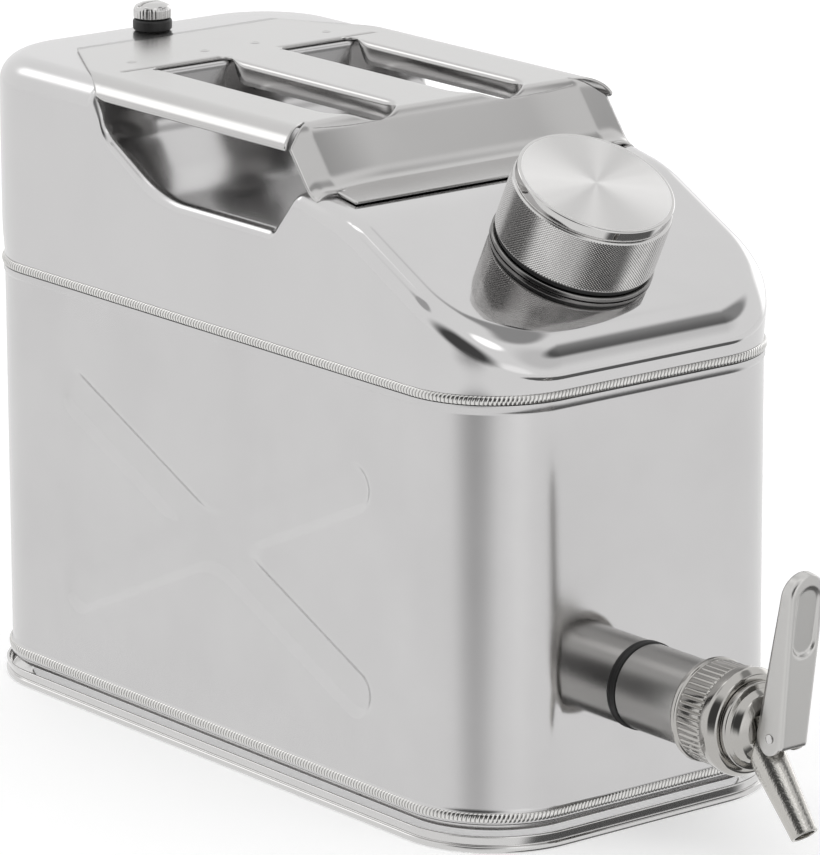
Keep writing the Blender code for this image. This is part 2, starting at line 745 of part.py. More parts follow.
def make_vent(steel, rubber, parent):
    axis = add_empty("vent_axis", parent, (0, VENT_Y, DECK_Z))
    boss_low = -SHEET - 0.0020
    boss = lathe(
        [
            (VENT_BORE, boss_low),
            (VENT_BOSS_RADIUS, boss_low),
            (VENT_BOSS_RADIUS, VENT_BOSS_HEIGHT),
            (VENT_BORE, VENT_BOSS_HEIGHT),
        ],
        20,
    )
    add_object("vent_boss", boss, steel, axis)
    ring_low = GAP
    ring_top = GAP + VENT_RING_HEIGHT
    ring_inner = VENT_BOSS_RADIUS + GAP
    ring = lathe(
        [
            (ring_inner, ring_low),
            (VENT_RING_RADIUS - 0.0008, ring_low),
            (VENT_RING_RADIUS, ring_low + 0.0010),
            (VENT_RING_RADIUS, ring_top - 0.0010),
            (VENT_RING_RADIUS - 0.0008, ring_top),
            (ring_inner, ring_top),
        ],
        24,
    )
    add_object("vent_seal", ring, rubber, axis)
    head = ring_top + GAP
    head_top = head + VENT_HEAD_HEIGHT
    shank = VENT_BORE - GAP
    screw = lathe(
        [
            (0, head_top),
            (VENT_HEAD_RADIUS * 0.5, head_top - 0.0004),
            (VENT_HEAD_RADIUS * 0.85, head_top - 0.0014),
            (VENT_HEAD_RADIUS, head_top - 0.0030),
            (VENT_HEAD_RADIUS, head + 0.0005),
            (VENT_HEAD_RADIUS - 0.0005, head),
            (shank, head),
            (shank, head - VENT_SHANK_LENGTH + 0.0005),
            (shank - 0.0005, head - VENT_SHANK_LENGTH),
            (0, head - VENT_SHANK_LENGTH),
        ],
        24,
    )
    screw = add_object("vent_screw", screw, steel, axis)
    half = VENT_SLOT_WIDTH / 2
    reach = VENT_HEAD_RADIUS + 0.002
    low = head_top - VENT_SLOT_DEPTH
    slot = slab([(-half, low), (half, low), (half, head_top + 0.002), (-half, head_top + 0.002)], -reach, reach)
    combine(screw, add_object("vent_slot_guide", slot, None, axis))


def make_filler(steel, rubber, axis):
    flange_low = GAP
    flange_top = flange_low + FLANGE_THICK
    neck_inner = NECK_OUTER - NECK_WALL
    neck = lathe(
        [
            (neck_inner, -NECK_DEPTH),
            (NECK_OUTER, -NECK_DEPTH),
            (NECK_OUTER, flange_low),
            (FLANGE_RADIUS, flange_low),
            (FLANGE_RADIUS, flange_top - 0.0005),
            (FLANGE_RADIUS - 0.0005, flange_top),
            (NECK_OUTER, flange_top),
            (NECK_OUTER, NECK_HEIGHT - 0.0006),
            (NECK_OUTER - 0.0006, NECK_HEIGHT),
            (neck_inner, NECK_HEIGHT),
        ],
        36,
    )
    add_object("filler_neck", neck, steel, axis)

    cap_bore = NECK_OUTER + THREAD_PLAY
    seal_low = flange_top + GAP
    seal_top = seal_low + SEAL_HEIGHT
    seal_inner = NECK_OUTER + 0.0010
    seal_outer = CAP_RADIUS - 0.0010
    seal = lathe(
        [(seal_inner, seal_low), (seal_outer, seal_low), (seal_outer, seal_top), (seal_inner, seal_top)]
    )
    add_object("cap_seal", seal, rubber, axis)

    liner_low = NECK_HEIGHT + GAP
    liner_top = liner_low + LINER_THICK
    add_object("cap_liner", rod(cap_bore - THREAD_PLAY, liner_low, liner_top, 36), rubber, axis)

    skirt = seal_top + GAP
    ceiling = liner_top + GAP
    band_low = CAP_HEIGHT - CAP_BAND_HEIGHT
    cap = lathe(
        [
            (0, ceiling),
            (cap_bore, ceiling),
            (cap_bore, skirt),
            (CAP_RADIUS - 0.0008, skirt),
            (CAP_RADIUS, skirt + 0.0008),
            (CAP_RADIUS, band_low - 0.0008),
            (CAP_RADIUS - 0.0006, band_low),
            (CAP_BAND_RADIUS - 0.0004, band_low + 0.0003),
            (CAP_BAND_RADIUS - 0.0004, band_low + 0.0007),
            (CAP_BAND_RADIUS, band_low + 0.0010),
            (CAP_BAND_RADIUS, CAP_HEIGHT - 0.0007),
            (CAP_BAND_RADIUS - 0.0007, CAP_HEIGHT),
            (0, CAP_HEIGHT),
        ],
        36,
    )
    add_object("filler_cap", cap, steel, axis)


# Places along the tap's axis, counted from the can's front wall
def tap_places():
    place = {"socket": GAP}
    place["washer"] = place["socket"] + SOCKET_LENGTH + GAP
    place["sleeve"] = place["washer"] + WASHER_THICK + GAP
    place["sleeve_end"] = place["sleeve"] + SLEEVE_LENGTH
    place["thread_end"] = place["sleeve_end"] + THREAD_LENGTH
    place["nut"] = place["sleeve_end"] + GAP
    place["nut_end"] = place["nut"] + NUT_LENGTH
    place["tap_washer"] = place["thread_end"] + GAP
    place["flange"] = place["tap_washer"] + WASHER_THICK + GAP
    place["flange_end"] = place["flange"] + TAP_FLANGE_LENGTH
    place["nut_lip"] = place["flange_end"] + GAP
    place["collar"] = place["nut_end"] + GAP
    place["collar_end"] = place["collar"] + TAP_COLLAR_LENGTH
    place["face"] = place["collar_end"] + TAP_DOME_LENGTH
    place["pin"] = place["face"] + PIN_REACH
    place["spigot_end"] = place["flange"] - SPIGOT_LENGTH
    place["seat"] = place["face"] - 0.0120
    place["chamber_end"] = place["face"] - 0.0038
    return place


def make_outlet(steel, rubber, axis, place):
    socket = lathe(
        [
            (SOCKET_BORE, -TUBE_INSIDE),
            (SOCKET_TUBE_RADIUS, -TUBE_INSIDE),
            (SOCKET_TUBE_RADIUS, place["socket"]),
            (SOCKET_ROOT_RADIUS, place["socket"]),
            (SOCKET_ROOT_RADIUS, place["socket"] + 0.0004),
            (SOCKET_ROOT_RADIUS - 0.0045, place["socket"] + 0.0010),
            (SOCKET_RADIUS + 0.0015, place["socket"] + 0.0019),
            (SOCKET_RADIUS, place["washer"] - GAP - 0.0006),
            (SOCKET_RADIUS, place["washer"] - GAP),
            (SOCKET_BORE, place["washer"] - GAP),
        ]
    )
    add_object("outlet_socket", socket, steel, axis)

    washer_outer = SOCKET_RADIUS + 0.0004
    low, high = place["washer"], place["washer"] + WASHER_THICK
    washer = lathe([(SOCKET_BORE, low), (washer_outer, low), (washer_outer, high), (SOCKET_BORE, high)])
    add_object("outlet_gasket", washer, rubber, axis)

    stub = SOCKET_BORE - 0.0004
    sleeve = lathe(
        [
            (SLEEVE_BORE, -TUBE_INSIDE),
            (stub, -TUBE_INSIDE),
            (stub, place["sleeve"]),
            (SLEEVE_RADIUS, place["sleeve"]),
            (SLEEVE_RADIUS, place["sleeve_end"]),
            (THREAD_RADIUS, place["sleeve_end"]),
            (THREAD_RADIUS, place["thread_end"] - 0.0005),
            (THREAD_RADIUS - 0.0005, place["thread_end"]),
            (SLEEVE_BORE, place["thread_end"]),
        ]
    )
    add_object("tap_sleeve", sleeve, steel, axis)


# The fluted union nut: a ring whose outer rows follow the flutes between two plain collars
def make_union_nut(mat, axis, place):
    per_flute = 2
    count = NUT_FLUTES * per_flute
    low, high, lip = place["nut"], place["nut_end"], place["nut_lip"]
    inner = SLEEVE_RADIUS + 0.0004
    mouth = TAP_NECK_RADIUS + 0.0005
    rear_collar = NUT_FLUTE_RADIUS + 0.0006
    flute_from, flute_to = low + 0.0035, high - 0.0092
    rows = [
        (inner, low, 0),
        (rear_collar - 0.0008, low, 0),
        (rear_collar, low + 0.0008, 0),
        (rear_collar, low + 0.0021, 0),
        (rear_collar - 0.0014, low + 0.0028, 0),
        (NUT_FLUTE_RADIUS, flute_from + 0.0004, 1),
        (NUT_FLUTE_RADIUS, flute_to, 1),
        (NUT_FLUTE_RADIUS - 0.0012, flute_to + 0.0006, 0),
        (NUT_COLLAR_RADIUS - 0.0010, flute_to + 0.0014, 0),
        (NUT_COLLAR_RADIUS, flute_to + 0.0028, 0),
        (NUT_COLLAR_RADIUS, high - 0.0032, 0),
        (NUT_COLLAR_RADIUS - 0.0012, high - 0.0008, 0),
        (NUT_COLLAR_RADIUS - 0.0030, high, 0),
        (mouth, high, 0),
        (mouth, lip, 0),
        (inner, lip, 0),
    ]
    bm = bmesh.new()
    rings = []
    for radius, height, fluted in rows:
        ring = []
        for i in range(count):
            angle = math.tau * i / count
            wave = 0.5 - 0.5 * math.cos(math.tau * i / per_flute)
            r = radius - fluted * NUT_FLUTE_DEPTH * wave
            ring.append(bm.verts.new((r * math.cos(angle), r * math.sin(angle), height)))
        rings.append(ring)
    bridge_all(bm, rings + rings[:1])
    add_object("union_nut", bm, mat, axis)


def make_tap_body(mat, axis, place):
    dome = [(TAP_DOME_RADIUS, place["collar_end"] + 0.0008)]
    dome += [(TAP_DOME_RADIUS - 0.0010, place["face"] - 0.0014), (TAP_DOME_RADIUS - 0.0045, place["face"])]
    body = lathe(
        [
            (0, place["spigot_end"]),
            (SLEEVE_BORE - GAP, place["spigot_end"]),
            (SLEEVE_BORE - GAP, place["flange"]),
            (THREAD_RADIUS - 0.0001, place["flange"]),
            (THREAD_RADIUS - 0.0001, place["flange_end"]),
            (TAP_NECK_RADIUS, place["flange_end"]),
            (TAP_NECK_RADIUS, place["collar"]),
            (TAP_COLLAR_RADIUS, place["collar"]),
            (TAP_COLLAR_RADIUS, place["collar_end"] - 0.0006),
            (TAP_COLLAR_RADIUS - 0.0006, place["collar_end"]),
        ]
        + dome
        + [(0, place["face"])]
    )
    body = add_object("tap_body", body, mat, axis)

    # Spout: a tapered tube that leaves the body downward and forward
    spout_from = Vector((0, -SPOUT_TOP_SINK + 0.0015, place["face"] - SPOUT_TOP_SINK))
    run = Vector((0, -SPOUT_DROP, SPOUT_FORWARD))
    length = run.length
    spout_axis = add_empty("spout_axis", axis, spout_from)
    spout_axis.rotation_euler = (math.atan2(SPOUT_DROP, SPOUT_FORWARD), 0, 0)
    tube = lathe([(0, 0), (SPOUT_TOP_RADIUS, 0), (SPOUT_TIP_RADIUS, length), (0, length)], 20)
    combine(body, add_object("spout_guide", tube, None, spout_axis), "UNION")

    # Fork: two ears that carry the lever's pin
    ear = arc((-PIN_DROP, place["pin"]), FORK_ROUND, 0, math.pi, 8)
    ear += [(-FORK_ROUND - 0.0020, place["face"] - 0.0030), (FORK_ROUND + 0.0040, place["face"] - 0.0030)]
    for side, word in ((1, "right"), (-1, "left")):
        fork = slab(ear, side * FORK_INNER, side * FORK_OUTER)
        combine(body, add_object("fork_guide_" + word, fork, None, axis), "UNION")

    bore = lathe(
        [
            (0, place["spigot_end"] - 0.0020),
            (SEAT_RADIUS, place["spigot_end"] - 0.0020),
            (SEAT_RADIUS, place["spigot_end"] + SPIGOT_LIP),
            (TAP_BORE, place["spigot_end"] + SPIGOT_LIP),
            (TAP_BORE, place["seat"]),
            (SEAT_RADIUS, place["seat"]),
            (SEAT_RADIUS, place["seat"] + 0.0015),
            (0.0050, place["seat"] + 0.0015),
            (0.0050, place["chamber_end"]),
            (SEAT_RADIUS + 0.0004, place["chamber_end"]),
            (SEAT_RADIUS + 0.0004, place["chamber_end"] + 0.0023),
            (STEM_RADIUS + STEM_PLAY, place["chamber_end"] + 0.0023),
            (STEM_RADIUS + STEM_PLAY, place["pin"]),
            (0, place["pin"]),
        ],
        20,
    )
    combine(body, add_object("bore_guide", bore, None, axis))
    spout_bore = rod(SPOUT_BORE, 0.0, length + 0.0020, 16)
    combine(body, add_object("spout_bore_guide", spout_bore, None, spout_axis))
    cam_relief = slab(
        arc((-PIN_DROP, place["pin"]), CAM_RADIUS + CAM_RISE * CAM_TRAVEL + 0.0005, 0, math.tau, 20)[:-1],
        -FORK_INNER,
        FORK_INNER,
    )
    combine(body, add_object("cam_relief_guide", cam_relief, None, axis))
    pin_hole = slab(
        arc((-PIN_DROP, place["pin"]), PIN_RADIUS + PIN_PLAY, 0, math.tau, 16)[:-1],
        -FORK_OUTER - 0.001,
        FORK_OUTER + 0.001,
    )
    combine(body, add_object("pin_hole_guide", pin_hole, None, axis))


def make_tap_inside(steel, rubber, axis, place):
    low, high = place["tap_washer"], place["tap_washer"] + WASHER_THICK
    inner, outer = SLEEVE_BORE + 0.0002, THREAD_RADIUS - 0.0002
    washer = lathe([(inner, low), (outer, low), (outer, high), (inner, high)])
    add_object("tap_gasket", washer, rubber, axis)

    disc_top = place["seat"] - GAP
    disc_low = disc_top - DISC_THICK
    tip = place["pin"] - CAM_RADIUS - 2 * GAP
    stem = lathe(
        [
            (0, disc_low),
            (DISC_RADIUS, disc_low),
            (DISC_RADIUS, disc_top),
            (STEM_RADIUS, disc_top),
            (STEM_RADIUS, tip - 0.0006),
            (STEM_RADIUS - 0.0006, tip),
            (0, tip),
        ],
        16,
    )
    add_object("tap_stem", stem, steel, axis)

    seal_low = place["chamber_end"] + 0.0003
    seal_inner, seal_outer = STEM_RADIUS + GAP, SEAT_RADIUS + 0.0001
    seal_high = seal_low + 0.0017
    seal = lathe(
        [(seal_inner, seal_low), (seal_outer, seal_low), (seal_outer, seal_high), (seal_inner, seal_high)], 16
    )
    add_object("stem_seal", seal, rubber, axis)

    # The return spring sits between the spigot's lip and the valve disc.
    start = place["spigot_end"] + SPIGOT_LIP + GAP + SPRING_WIRE
    end = disc_low - GAP - SPRING_WIRE
    per_turn = 8
    count = SPRING_TURNS * per_turn
    curve = bpy.data.curves.new("valve_spring", "CURVE")
    curve.dimensions = "3D"
    curve.bevel_depth = SPRING_WIRE
    curve.bevel_resolution = 1
    curve.use_fill_caps = True
    spline = curve.splines.new("POLY")
    spline.points.add(count)
    for i in range(count + 1):
        angle = math.tau * i / per_turn
        height = start + (end - start) * i / count
        spline.points[i].co = (SPRING_RADIUS * math.cos(angle), SPRING_RADIUS * math.sin(angle), height, 1)
    curve.materials.append(steel)
    spring = bpy.data.objects.new("valve_spring", curve)
    bpy.context.scene.collection.objects.link(spring)
    spring.parent = axis


# The lever's side, as (y, z) about the pin: straight front, heel round the pin, sloped back edge
def lever_side(front, heel, top_depth, top):
    foot = -heel * LEVER_FOOT_DROP
    points = [(-front, top), (-front, foot)]
    start = math.pi + math.asin(LEVER_FOOT_DROP)
    points += arc((0, 0), heel, start, math.tau, 10)
    points.append((-front + top_depth, top))
    return points


# The lever's front, as (x, z): slightly flared, with a half-round top
def lever_front(half_foot, half_top, top):
    crown = top - half_top
    points = [(half_foot, -0.0100), (half_foot, 0.0060)]
    points += arc((0, crown), half_top, 0, math.pi, 12)
    points += [(-half_foot, 0.0060), (-half_foot, -0.0100)]
    return points


def front_block(outline, y_from, y_to):
    bm = bmesh.new()
    face = bm.faces.new([bm.verts.new((x, y_from, z)) for x, z in outline])
    grown = bmesh.ops.extrude_face_region(bm, geom=[face])
    moved = [item for item in grown["geom"] if isinstance(item, bmesh.types.BMVert)]
    bmesh.ops.translate(bm, verts=moved, vec=(0, y_to - y_from, 0))
    return bm


def make_lever(mat, hinge):
    holder = add_empty("lever_lean", hinge, (0, 0, 0), LEVER_LEAN)
    side = slab(
        lever_side(LEVER_FRONT, LEVER_HEEL, LEVER_TOP_DEPTH, LEVER_HEIGHT),
        -LEVER_TOP_HALF - 0.001,
        LEVER_TOP_HALF + 0.001,
    )
    lever = add_object("lever", side, mat, holder)
    face = front_block(lever_front(LEVER_FOOT_HALF, LEVER_TOP_HALF, LEVER_HEIGHT), -0.02, 0.02)
    combine(lever, add_object("lever_face_guide", face, None, holder), "INTERSECT")

    # The channel behind the web stays inside the same two outlines, one sheet in.
    hollow = front_block(
        lever_front(LEVER_FOOT_HALF - LEVER_SIDE, LEVER_TOP_HALF - LEVER_SIDE, LEVER_HEIGHT - LEVER_SIDE),
        -LEVER_FRONT + LEVER_WEB,
        0.02,
    )
    combine(lever, add_object("lever_hollow_guide", hollow, None, holder))

    # The web ends just under the pin, so that only the two cheeks swing down beside the spout.
    inside = LEVER_FOOT_HALF - LEVER_SIDE
    below = [(-inside, LEVER_WEB_FOOT), (-inside, -0.02), (inside, -0.02), (inside, LEVER_WEB_FOOT)]
    foot_cut = front_block(below, -0.02, -LEVER_FRONT + LEVER_WEB + 0.001)
    combine(lever, add_object("lever_foot_guide", foot_cut, None, holder))

    # Cam: its radius grows from the stem's side downward, so a pulled lever pushes the stem in.
    steps = 12
    cam = []
    for i in range(steps + 1):
        angle = CAM_TRAVEL * i / steps
        radius = CAM_RADIUS + CAM_RISE * angle
        cam.append((radius * math.cos(-LEVER_LEAN - angle), radius * math.sin(-LEVER_LEAN - angle)))
    cam += arc((0, 0), CAM_RADIUS, -math.pi * 0.55, -math.pi * 0.80, 3)
    web = -LEVER_FRONT + LEVER_WEB / 2
    cam += [(web, -LEVER_HEEL * 0.35), (web, LEVER_HEEL * 0.35)]
    cam += arc((0, 0), CAM_RADIUS, math.pi * 0.75, math.pi * 0.05, 6)
    cam_block = slab(cam, -CAM_HALF_WIDTH, CAM_HALF_WIDTH)
    combine(lever, add_object("cam_guide", cam_block, None, holder), "UNION")

    hole = slab(
        arc((0, 0), PIN_RADIUS + PIN_PLAY, 0, math.tau, 16)[:-1], -LEVER_TOP_HALF - 0.002, LEVER_TOP_HALF + 0.002
    )
    combine(lever, add_object("lever_hole_guide", hole, None, holder))

    # Thumb hollow in the web, sunk deeper toward its lower end
    upper = LEVER_HEIGHT - THUMB_TOP_MARGIN - THUMB_HALF_WIDTH
    lower = LEVER_HEIGHT - THUMB_TOP_MARGIN - THUMB_LENGTH + THUMB_HALF_WIDTH
    stadium = arc((0, upper), THUMB_HALF_WIDTH, 0, math.pi, 8)
    stadium += arc((0, lower), THUMB_HALF_WIDTH, math.pi, math.tau, 8)
    thumb = front_block(stadium, -LEVER_FRONT - 0.004, -LEVER_FRONT + THUMB_DEPTH)
    for vert in thumb.verts:
        if vert.co.y > -LEVER_FRONT:
            share = (vert.co.z - lower + THUMB_HALF_WIDTH) / THUMB_LENGTH
            vert.co.y -= THUMB_DEPTH * 0.6 * share
    combine(lever, add_object("thumb_guide", thumb, None, holder))


def make_pin(mat, hinge):
    shank = LEVER_FOOT_HALF + GAP
    head = PIN_RADIUS + 0.0009
    end = shank + 0.0010
    points = [(0, -end), (head - 0.0003, -end), (head, -end + 0.0004), (head, -shank), (PIN_RADIUS, -shank)]
    points += [(r, -h) for r, h in reversed(points)]
    pin = add_object("lever_pin", lathe(points, 16), mat, hinge)
    pin.rotation_euler = (0, math.pi / 2, 0)


# Moves the whole object so that its footprint box is centred on the origin.
def center_on_origin(root):
    bpy.context.view_layer.update()
    depsgraph = bpy.context.evaluated_depsgraph_get()
    lows, highs = [], []
    for obj in bpy.data.objects:
        if obj.type not in {"MESH", "CURVE"} or obj.hide_render:
            continue
        shown = obj.evaluated_get(depsgraph)
        mesh = shown.to_mesh()
        points = np.empty(len(mesh.vertices) * 3)
        mesh.vertices.foreach_get("co", points)
        world = np.array(shown.matrix_world)
        points = points.reshape(-1, 3) @ world[:3, :3].T + world[:3, 3]
        lows.append(points.min(axis=0))
        highs.append(points.max(axis=0))
        shown.to_mesh_clear()
    middle = (np.min(lows, axis=0) + np.max(highs, axis=0)) / 2
    root.location = (-middle[0], -middle[1], 0)
    bpy.context.view_layer.update()


def build():
    clear_scene()
    side_steel = make_material("brushed_side_steel", (0.62, 0.62, 0.62), 0.32, 1.0)
    top_steel = make_material("brushed_top_steel", (0.66, 0.66, 0.66), 0.28, 1.0)
    band_steel = make_material("bright_band_steel", (0.60, 0.60, 0.60), 0.15, 1.0)
    plate_steel = make_material("plate_steel", (0.64, 0.64, 0.64), 0.25, 1.0)
    cap_steel = make_material("turned_cap_steel", (0.62, 0.62, 0.62), 0.22, 1.0)
    tap_nickel = make_material("nickel_tap", (0.60, 0.59, 0.57), 0.24, 1.0)
    lever_nickel = make_material("satin_lever", (0.58, 0.58, 0.57), 0.34, 1.0)
    rubber = make_material("black_rubber", (0.02, 0.02, 0.02), 0.60, 0.0)

    root = add_empty("canister")
    filler_axis = add_empty("filler_axis", root, (0, FILLER_Y, slope_z(FILLER_Y)), SLOPE_ANGLE)
    tap_axis = add_empty("tap_axis", root, (0, -HALF_LENGTH, TAP_Z), math.pi / 2)
    place = tap_places()
    pin_spot = (0, -HALF_LENGTH - place["pin"], TAP_Z - PIN_DROP)
    lever_hinge = add_empty("lever_hinge", root, pin_spot)

    make_foot_band(band_steel, root)
    make_base_pan(side_steel, root)
    make_lower_shell(side_steel, root, tap_axis)
    make_upper_shell(top_steel, root, filler_axis)
    make_handle_plate(plate_steel, root)
    make_vent(cap_steel, rubber, root)
    make_filler(cap_steel, rubber, filler_axis)
    make_outlet(side_steel, rubber, tap_axis, place)
    make_union_nut(tap_nickel, tap_axis, place)
    make_tap_body(tap_nickel, tap_axis, place)
    make_tap_inside(cap_steel, rubber, tap_axis, place)
    make_lever(lever_nickel, lever_hinge)
    make_pin(cap_steel, lever_hinge)
    center_on_origin(root)


build()
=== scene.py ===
# Looks of the stainless dispensing canister. Sizes are in millimetres about the middle of the can unless a
# comment says metres, with the tap toward -Y and the floor at Z = 0. Meshes are made from them in metres.

import json
import math

import bmesh
import bpy
import numpy as np
from mathutils import Matrix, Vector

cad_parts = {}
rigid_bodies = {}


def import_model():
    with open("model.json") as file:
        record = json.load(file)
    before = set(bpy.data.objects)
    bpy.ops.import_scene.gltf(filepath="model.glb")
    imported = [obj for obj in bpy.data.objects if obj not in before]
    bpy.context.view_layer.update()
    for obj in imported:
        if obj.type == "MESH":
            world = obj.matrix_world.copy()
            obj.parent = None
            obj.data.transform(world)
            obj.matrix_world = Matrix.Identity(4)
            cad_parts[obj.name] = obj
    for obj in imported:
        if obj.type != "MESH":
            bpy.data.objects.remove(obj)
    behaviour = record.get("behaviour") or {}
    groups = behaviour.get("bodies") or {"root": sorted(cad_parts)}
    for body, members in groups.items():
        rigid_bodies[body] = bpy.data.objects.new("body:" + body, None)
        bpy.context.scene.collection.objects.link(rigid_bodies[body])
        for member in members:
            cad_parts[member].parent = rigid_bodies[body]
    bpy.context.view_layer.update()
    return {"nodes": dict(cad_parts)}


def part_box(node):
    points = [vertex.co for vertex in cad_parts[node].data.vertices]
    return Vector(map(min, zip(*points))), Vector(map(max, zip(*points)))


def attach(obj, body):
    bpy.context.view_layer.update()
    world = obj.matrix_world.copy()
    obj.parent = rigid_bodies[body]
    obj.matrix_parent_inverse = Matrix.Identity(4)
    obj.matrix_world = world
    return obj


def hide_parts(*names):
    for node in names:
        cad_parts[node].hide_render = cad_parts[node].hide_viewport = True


for thing in list(bpy.data.objects):
    bpy.data.objects.remove(thing, do_unlink=True)

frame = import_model()
shellLow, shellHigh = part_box("upper_shell")
canMiddleY = (shellLow.y + shellHigh.y) / 2  # in metres; the tap puts the can behind the origin
print("frame loaded, can's middle at y", round(canMiddleY, 5))


# Turns an sRGB hex colour to linear light.
def linear(hexColour, alpha=1.0):
    parts = np.array([int(hexColour[i : i + 2], 16) for i in (1, 3, 5)]) / 255
    light = np.where(parts <= 0.04045, parts / 12.92, ((parts + 0.055) / 1.055) ** 2.4)
    return (*light.tolist(), alpha)


# Adds one node: attributes by name, then input values, then links from other nodes' outputs.
def addNode(tree, kind, attributes=None, values=None, links=None):
    node = tree.nodes.new(kind)
    for name, value in (attributes or {}).items():
        setattr(node, name, value)
    for name, value in (values or {}).items():
        node.inputs[name].default_value = value
    for name, source in (links or {}).items():
        tree.links.new(source, node.inputs[name])
    return node


# Puts points (n x 3, millimetres) and faces into a mesh, welds its doubles and marks sharp edges.
def addPiece(name, points, faces, finish, body, uv=None, sharp=40, outward=True):
    mesh = bpy.data.meshes.new(name)
    placed = np.asarray(points, float).reshape(-1, 3) * 0.001 + [0, canMiddleY, 0]
    mesh.from_pydata(placed.tolist(), [], np.asarray(faces).tolist())
    if uv is not None:
        layer = mesh.uv_layers.new(name="wrap")
        corner = np.empty(len(mesh.loops), np.int32)
        mesh.loops.foreach_get("vertex_index", corner)
        layer.data.foreach_set("uv", np.asarray(uv, np.float32).reshape(-1, 2)[corner].ravel())
    bm = bmesh.new()
    bm.from_mesh(mesh)
    bmesh.ops.remove_doubles(bm, verts=bm.verts, dist=2e-6)
    bmesh.ops.dissolve_degenerate(bm, edges=bm.edges, dist=1e-6)
    if outward:
        bmesh.ops.recalc_face_normals(bm, faces=bm.faces)
    bm.to_mesh(mesh)
    bm.free()
    mesh.materials.append(finish)
    if sharp:
        mesh.shade_smooth()
        mesh.set_sharp_from_angle(angle=math.radians(sharp))
    piece = bpy.data.objects.new(name, mesh)
    bpy.context.scene.collection.objects.link(piece)
    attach(piece, body)
    return piece


# Quads between neighbouring rows and columns of a grid of points.
def gridFaces(rows, columns, first=0):
    index = np.arange(rows * columns).reshape(rows, columns) + first
    quads = (index[:-1, :-1], index[:-1, 1:], index[1:, 1:], index[1:, :-1])
    return np.stack(quads, -1).reshape(-1, 4)


def addSurface(name, grid, finish, body, uv=None, sharp=40):
    rows, columns = grid.shape[:2]
    return addPiece(name, grid, gridFaces(rows, columns), finish, body, uv, sharp)


# Several grids as one piece; they share the points that lie on their common edges.
def addGrids(name, grids, finish, body, sharp=40):
    faces, first = [], 0
    for grid in grids:
        faces.append(gridFaces(*grid.shape[:2], first))
        first += grid.shape[0] * grid.shape[1]
    points = np.vstack([grid.reshape(-1, 3) for grid in grids])
    return addPiece(name, points, np.vstack(faces), finish, body, None, sharp)


# Gives a sheet its thickness in millimetres, inward from its outer face.
def thicken(piece, thickness):
    wall = piece.modifiers.new("sheet", "SOLIDIFY")
    wall.thickness = 0.001 * thickness
    wall.offset = -1


# A line of straight legs in a plane whose inner corners (a, b, radius) become arcs that touch both legs
def roundedLine(corners, steps=8):
    spots = np.array([corner[:2] for corner in corners], float)
    line = [spots[:1]]
    for i in range(1, len(corners) - 1):
        radius = corners[i][2] if len(corners[i]) > 2 else 0
        if radius == 0:
            line.append(spots[i : i + 1])
            continue
        back, ahead = spots[i - 1] - spots[i], spots[i + 1] - spots[i]
        back, ahead = back / np.linalg.norm(back), ahead / np.linalg.norm(ahead)
        half = math.acos(np.clip(back @ ahead, -1, 1)) / 2
        middle = back + ahead
        centre = spots[i] + middle / np.linalg.norm(middle) * radius / math.sin(half)
        start = spots[i] + back * radius / math.tan(half) - centre
        stop = spots[i] + ahead * radius / math.tan(half) - centre
        swing = math.atan2(start[0] * stop[1] - start[1] * stop[0], start @ stop)
        turn = swing * np.linspace(0, 1, steps + 1)
        c, s = np.cos(turn), np.sin(turn)
        spoke = (c * start[0] - s * start[1], s * start[0] + c * start[1])
        line.append(centre + np.column_stack(spoke))
    line.append(spots[-1:])
    return np.vstack(line)


# Tilts points about X and moves them to their axis' foot.
def onAxis(points, foot, tilt):
    c, s = math.cos(tilt), math.sin(tilt)
    x, y, z = points[..., 0], points[..., 1], points[..., 2]
    return np.stack((x, y * c - z * s, y * s + z * c), -1) + np.asarray(foot, float)


# Carries a profile (radius, height) round an axis: x = r cos a, y = r sin a, z = height.
def turnedGrid(profile, steps, foot, tilt):
    angle = np.linspace(0, math.tau, steps + 1)
    radius, height = profile[:, :1], profile[:, 1:2]
    grid = np.stack((radius * np.cos(angle), radius * np.sin(angle), height + 0 * angle), -1)
    run = np.hypot(*np.diff(profile, axis=0, prepend=profile[:1]).T).cumsum()
    uv = np.stack(np.broadcast_arrays(angle[None, :] / math.tau, run[:, None] * 0.01), -1)
    return onAxis(grid, foot, tilt), uv


# A turned piece: the corners of its profile are rounded and carried round the axis that stands on foot.
def addTurned(name, corners, finish, body, foot, tilt=0.0, steps=96, sharp=32):
    grid, uv = turnedGrid(roundedLine(corners), steps, foot, tilt)
    return addSurface(name, grid, finish, body, uv, sharp)


def smoothStep(value):
    value = np.clip(value, 0, 1)
    return value * value * (3 - 2 * value)


# The smaller of two values, with the crossing rounded over a band of softness
def softMin(a, b, softness):
    blend = np.maximum(softness - np.abs(a - b), 0) / softness
    return np.minimum(a, b) - blend * blend * softness / 4


def softMax(a, b, softness):
    return -softMin(-a, -b, softness)


# Materials

cloudNoise = {"Scale": 22, "Detail": 4, "Roughness": 0.6}  # patches some 45 mm across
cloudRange = {"From Min": 0.3, "From Max": 0.7}  # nearly all of the noise lies between these
mixFirst, mixSecond, mixColour = 6, 7, 2  # a colour mix node's two colour inputs and its output
acrossGrooves = 0.25  # of a full turn: turned grooves spread the light across them


